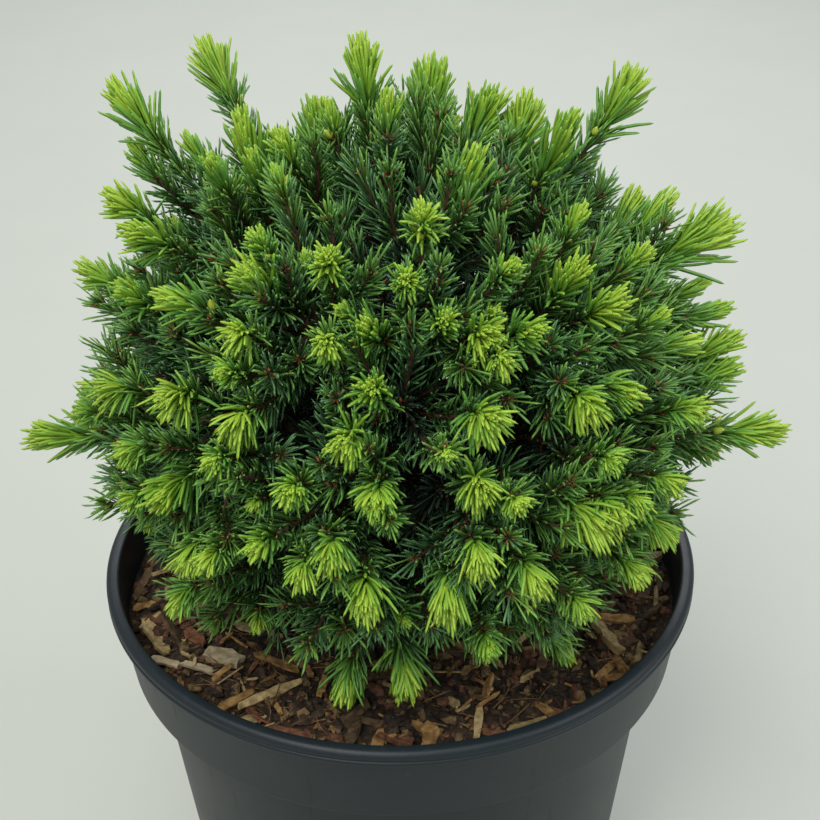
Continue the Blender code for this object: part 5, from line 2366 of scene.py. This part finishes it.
@dataclass
class PottingMix:
    """Damp potting mix that fills the pot, with crumbs and slivers of bark on it."""

    pot: Pot
    view: View
    level: float = 0.139
    gap: float = 0.0003
    relief: float = 0.0034
    relief_grains: tuple[Span, ...] = ((42.0, 3.0), (170.0, 9.0), (480.0, 5.0))
    sink: float = 0.0042
    sink_width: float = 0.013
    turn_steps: int = 160
    rings: int = 64
    roll: float = 0.8
    crumbs: int = 5200
    crumb_size: float = 0.00045
    crumb_growth: float = 0.0014
    crumb_room: float = 0.002
    crumb_lift: float = 0.3
    crumb_lengths: Span = (0.9, 2.2)
    crumb_heights: Span = (0.45, 0.9)
    crumb_shades: tuple[tuple[Crumbly, float], ...] = (
        (CRUMB_DARK, 0.46), (CRUMB_RED, 0.24), (CRUMB_BROWN, 0.30)
    )
    chips: int = 560
    chip_kinds: int = 4
    chip_length: float = 0.0030
    chip_growth: float = 0.0125
    chip_widths: Span = (0.14, 0.42)
    chip_heights: Span = (0.25, 0.5)
    chip_thickness: float = 0.0016
    chip_lift: float = 0.0004
    chip_lift_more: float = 0.0020
    chip_shades: tuple[tuple[Crumbly, float], ...] = (
        (CHIP_DARK, 0.34), (CHIP_RED, 0.16), (CHIP_ORANGE, 0.28), (CHIP_TAN, 0.22)
    )
    fibres: int = 420
    fibre_rings: int = 5
    fibre_room: float = 0.008
    fibre_lift: float = 0.0006
    fibre_lift_more: float = 0.0016
    fibre_lengths: Span = (0.003, 0.012)
    fibre_bow: float = 0.16
    fibre_radii: Span = (0.00012, 0.00030)
    wall_room: float = 0.0040
    level_room: float = 0.02
    trunk_room: float = 0.012
    seen_height: float = 0.0016
    seen_thickness: float = 0.0026
    rng: np.random.Generator = field(default_factory=lambda: np.random.default_rng(23))

    def edge_radius(self) -> float:
        """Radius of the mix where its surface meets the pot's collar.

        Returns:
            The radius in metres.
        """
        _, _, ledge, lip = self.pot.inner_wall(self.gap)
        share = (self.level - ledge[1]) / (lip[1] - ledge[1])
        return ledge[0] + (lip[0] - ledge[0]) * share

    def height_at(self, x: float, y: float) -> float:
        """Height of the crumbly surface, which sinks towards the pot's wall.

        Args:
            x: Place from the pot's axis to the right.
            y: Place from the pot's axis to the back.

        Returns:
            The height in metres.
        """
        broad, middle, fine = (
            noise.noise(Vector((x * grain, y * grain, level))) for grain, level in self.relief_grains
        )
        near_wall = max(0.0, 1.0 - (self.edge_radius() - math.hypot(x, y)) / self.sink_width)
        uneven = self.relief * (0.35 * broad + 0.50 * middle + 0.26 * fine)
        return self.level - self.relief * 0.3 + uneven - self.sink * near_wall**2 * (3.0 - 2.0 * near_wall)

    def build_surface(self) -> Object:
        """The body of the mix, from the pot's floor to its uneven surface.

        Returns:
            The piece that replaces the mix's solid.
        """
        foot, ledge_inner, ledge_outer, _ = self.pot.inner_wall(self.gap)
        edge = self.edge_radius()
        outline = [(edge * ring / self.rings, self.level) for ring in range(self.rings + 1)]
        outline += [ledge_outer, ledge_inner, foot, (0.0, foot[1])]
        shape = turned_round(outline, self.turn_steps)
        for corner in shape.verts:
            if corner.co.z > self.level - SAME_PLACE:
                corner.co.z = self.height_at(corner.co.x, corner.co.y)
        bmesh.ops.recalc_face_normals(shape, faces=shape.faces)
        return enter(from_bmesh("mix_surface", shape, 180.0), MIX_SOIL, ("potting_mix",))

    def scattered(self, count: int, edge_room: float) -> np.ndarray:
        """Places on the surface.

        Args:
            count: Number of places.
            edge_room: Distance kept from the pot's wall.

        Returns:
            One point for each place.
        """
        outer, inner = self.edge_radius() - edge_room, self.trunk_room
        radius = np.sqrt(self.rng.uniform(inner**2, outer**2, count))
        turn = self.rng.uniform(0.0, math.tau, count)
        spots = np.stack((radius * np.cos(turn), radius * np.sin(turn), np.zeros(count)), axis=1)
        spots[:, 2] = [self.height_at(x, y) for x, y, _ in spots]
        return spots

    def lying(self, count: int, tilt: float) -> np.ndarray:
        """Unit directions that lie nearly level.

        Args:
            count: Number of directions.
            tilt: How far they may be tilted up or down, in radians.

        Returns:
            The directions.
        """
        turn = self.rng.uniform(0.0, math.tau, count)
        rise = self.rng.uniform(-tilt, tilt, count)
        return np.stack((np.cos(turn) * np.cos(rise), np.sin(turn) * np.cos(rise), np.sin(rise)), axis=1)

    def build_crumbs(self) -> None:
        """Small uneven lumps of mix and bark, part sunk in the surface."""
        rng = self.rng
        for number, (shade, share) in enumerate(self.crumb_shades):
            joined = Joined(f"crumbs_{number + 1}", Template.lump(number, 0.30), shade, smooth=False)
            count = int(self.crumbs * share)
            size = self.crumb_size + self.crumb_growth * rng.random(count) ** 2.4
            spots = self.scattered(count, self.crumb_room)
            spots[:, 2] += size * self.crumb_lift
            along = self.lying(count, 0.6)
            flat = np.zeros((count, 3))
            length = size * rng.uniform(*self.crumb_lengths, count)
            turn = rng.uniform(-self.roll, self.roll, count)
            thick = size * rng.uniform(*self.crumb_heights, count)
            joined.place(spots, along, length, size, thick, flat, turn)
            joined.build()

    def build_chips(self) -> None:
        """Torn slivers of bark that lie on the mix, of several shades and kinds."""
        rng = self.rng
        for number, (shade, share) in enumerate(self.chip_shades):
            some = int(self.chips * share) // self.chip_kinds
            for kind in range(self.chip_kinds):
                sliver = Template.sliver(10 * number + kind)
                joined = Joined(f"chips_{number + 1}_{kind + 1}", sliver, shade, smooth=False)
                length = self.chip_length + self.chip_growth * rng.random(some) ** 1.7
                width = length * rng.uniform(*self.chip_widths, some)
                thick = np.minimum(width * rng.uniform(*self.chip_heights, some), self.chip_thickness)
                spots = self.scattered(some, self.wall_room)
                spots[:, 2] += self.chip_lift + self.chip_lift_more * rng.random(some)
                along = self.lying(some, 0.42)
                from_wall = self.edge_radius() - np.hypot(*spots[:, :2].T)
                along[:, 2] *= np.clip(from_wall / self.level_room, 0.2, 1.0)
                along = unit(self.held_from_wall(spots, along, length))
                turn = rng.uniform(-self.roll, self.roll, some)
                joined.place(spots, along, length, width, thick, np.zeros((some, 3)), turn)
                joined.build()

    def held_from_wall(self, spots: np.ndarray, along: np.ndarray, length: np.ndarray) -> np.ndarray:
        """Turn those slivers along the pot's wall that would reach through it.

        Args:
            spots: Middle of each sliver.
            along: Its direction.
            length: Its length.

        Returns:
            The directions.
        """
        reach = np.hypot(*(np.abs(spots[:, :2]) + np.abs(along[:, :2]) * length[:, None] / 2).T)
        rim = unit(np.stack((-spots[:, 1], spots[:, 0], along[:, 2] * 0.01), axis=1))
        return np.where((reach > self.edge_radius() - 0.001)[:, None], rim, along)

    def build_fibres(self) -> None:
        """Thin bent fibres of bark that lie about on the mix."""
        rng = self.rng
        joined = Joined("fibres", Template.tube(4, self.fibre_rings), FIBRE_BROWN)
        count = self.fibres
        spots = self.scattered(count, self.fibre_room)
        spots[:, 2] += self.fibre_lift + self.fibre_lift_more * rng.random(count)
        along = self.lying(count, 0.25)
        beside = across(along)
        length = rng.uniform(*self.fibre_lengths, count)
        bow = rng.normal(0.0, self.fibre_bow, count)
        places = np.linspace(-0.5, 0.5, self.fibre_rings)
        lengthwise = along[:, None] * (places[None] * length[:, None])[..., None]
        sideways = beside[:, None] * (places[None] ** 2 * (bow * length)[:, None] * 2.0)[..., None]
        radii = rng.uniform(*self.fibre_radii, count)[:, None] * (1.0 - 0.5 * np.abs(places) * 2.0)[None]
        joined.sweep(spots[:, None] + lengthwise + sideways, radii)
        joined.build()

    def build_seen_chips(self) -> None:
        """The larger pieces of bark that the photo shows on the mix, each where it lies there."""
        for number, (shade, chips) in enumerate(SEEN_CHIPS.items()):
            for kind, chip in enumerate(chips):
                start, end = (self.view.on_level(seen, self.level + self.seen_height) for seen in chip)
                middle = (start + end) / 2
                width = self.view.metres(chip[0].size, middle)
                sliver = Template.sliver(50 + 10 * number + kind)
                joined = Joined(f"bark_{number + 1}_{kind + 1}", sliver, shade, smooth=False)
                one = np.ones(1)
                along = np.array((end - start).normalized()[:])[None]
                spot = np.array(middle[:])[None]
                spot[:, 2] = self.height_at(*middle.xy) + self.seen_height
                thick = min(width * 0.35, self.seen_thickness)
                joined.place(
                    spot, along, one * (end - start).length, one * width, one * thick, np.zeros((1, 3)),
                    one * self.rng.uniform(-0.5, 0.5),
                )
                joined.build()

    def build(self) -> None:
        """The mix and everything that lies on it."""
        self.build_surface()
        self.build_crumbs()
        self.build_chips()
        self.build_fibres()
        self.build_seen_chips()


@dataclass(frozen=True)
class Lamp:
    """A soft square light: its place, side in metres, power in watts and colour, and what it is aimed at."""

    spot: tuple[float, float, float]
    side: float
    power: float
    colour: Colour
    aim: tuple[float, float, float] = (0.0, 0.0, 0.18)


LAMPS: dict[str, Lamp] = {
    "key_light": Lamp((-0.35, -0.55, 1.45), 0.8, 15.8, (1.0, 0.98, 0.94)),
    "front_light": Lamp((-0.25, -0.80, 0.75), 0.35, 2.2, (1.0, 0.98, 0.94)),
    "side_light": Lamp((0.95, -0.35, 0.80), 0.7, 5.5, (0.95, 0.98, 1.0)),
    "back_light": Lamp((0.15, 0.95, 1.15), 0.9, 8.0, (1.0, 1.0, 1.0)),
    "floor_light": Lamp((-0.1, 1.45, 1.1), 1.2, 7.0, (1.0, 1.0, 1.0), (-0.1, 1.25, 0.0)),
}


@dataclass
class Studio:
    """The camera, a pale floor and soft light."""

    view: View
    floor_side: float = 60.0
    sky: Colour = (0.90, 0.93, 0.96)
    sky_strength: float = 0.50

    def build_floor(self) -> None:
        """A wide pale floor at the level that the pot stands on."""
        shape = bmesh.new()
        bmesh.ops.create_grid(shape, x_segments=2, y_segments=2, size=self.floor_side / 2)
        bmesh.ops.translate(shape, vec=(0.0, 0.0, CAD_BOX[0].z - 0.0002), verts=shape.verts)
        floor = from_bmesh("floor", shape)
        floor.data.materials.append(FLOOR_PAINT.material())

    def build_light(self, name: str, lamp: Lamp) -> None:
        """Hang a soft square light.

        Args:
            name: Name of the light.
            lamp: Its sizes and its place.
        """
        data = bpy.data.lights.new(name, "AREA")
        data.size = lamp.side
        data.energy = lamp.power
        data.color = lamp.colour
        light = bpy.data.objects.new(name, data)
        aim = Vector(lamp.aim) - Vector(lamp.spot)
        turned = aim.to_track_quat("-Z", "Y").to_matrix().to_4x4()
        light.matrix_world = Matrix.Translation(Vector(lamp.spot)) @ turned
        bpy.context.scene.collection.objects.link(light)

    def build(self) -> None:
        """Camera, floor, sky and lights."""
        self.view.build()
        self.build_floor()
        world = bpy.data.worlds.new("soft_sky")
        world.use_nodes = True
        world.node_tree.nodes["Background"].inputs["Color"].default_value = (*self.sky, 1.0)
        world.node_tree.nodes["Background"].inputs["Strength"].default_value = self.sky_strength
        bpy.context.scene.world = world
        for name, lamp in LAMPS.items():
            self.build_light(name, lamp)
        bpy.context.scene.view_settings.view_transform = "Standard"


def main() -> None:
    """Build the studio and every part of the plant, and report each piece."""
    logging.basicConfig(level=logging.INFO, format="%(name)s %(message)s", stream=sys.stdout)
    crown = Crown()
    pot = Pot()
    view = View()
    builders: tuple[tuple[str, Callable[[], object]], ...] = (
        ("studio", Studio(view).build),
        ("pot", pot.build),
        ("mix", PottingMix(pot, view).build),
        ("trunk", Limbs(crown).build_trunk),
        ("boughs", Limbs(crown).build_boughs),
        ("foliage", Foliage(crown, view).build),
    )
    for name, build in builders:
        build()
        LOG.info("%s is built", name)


if __name__ == "__main__":
    main()
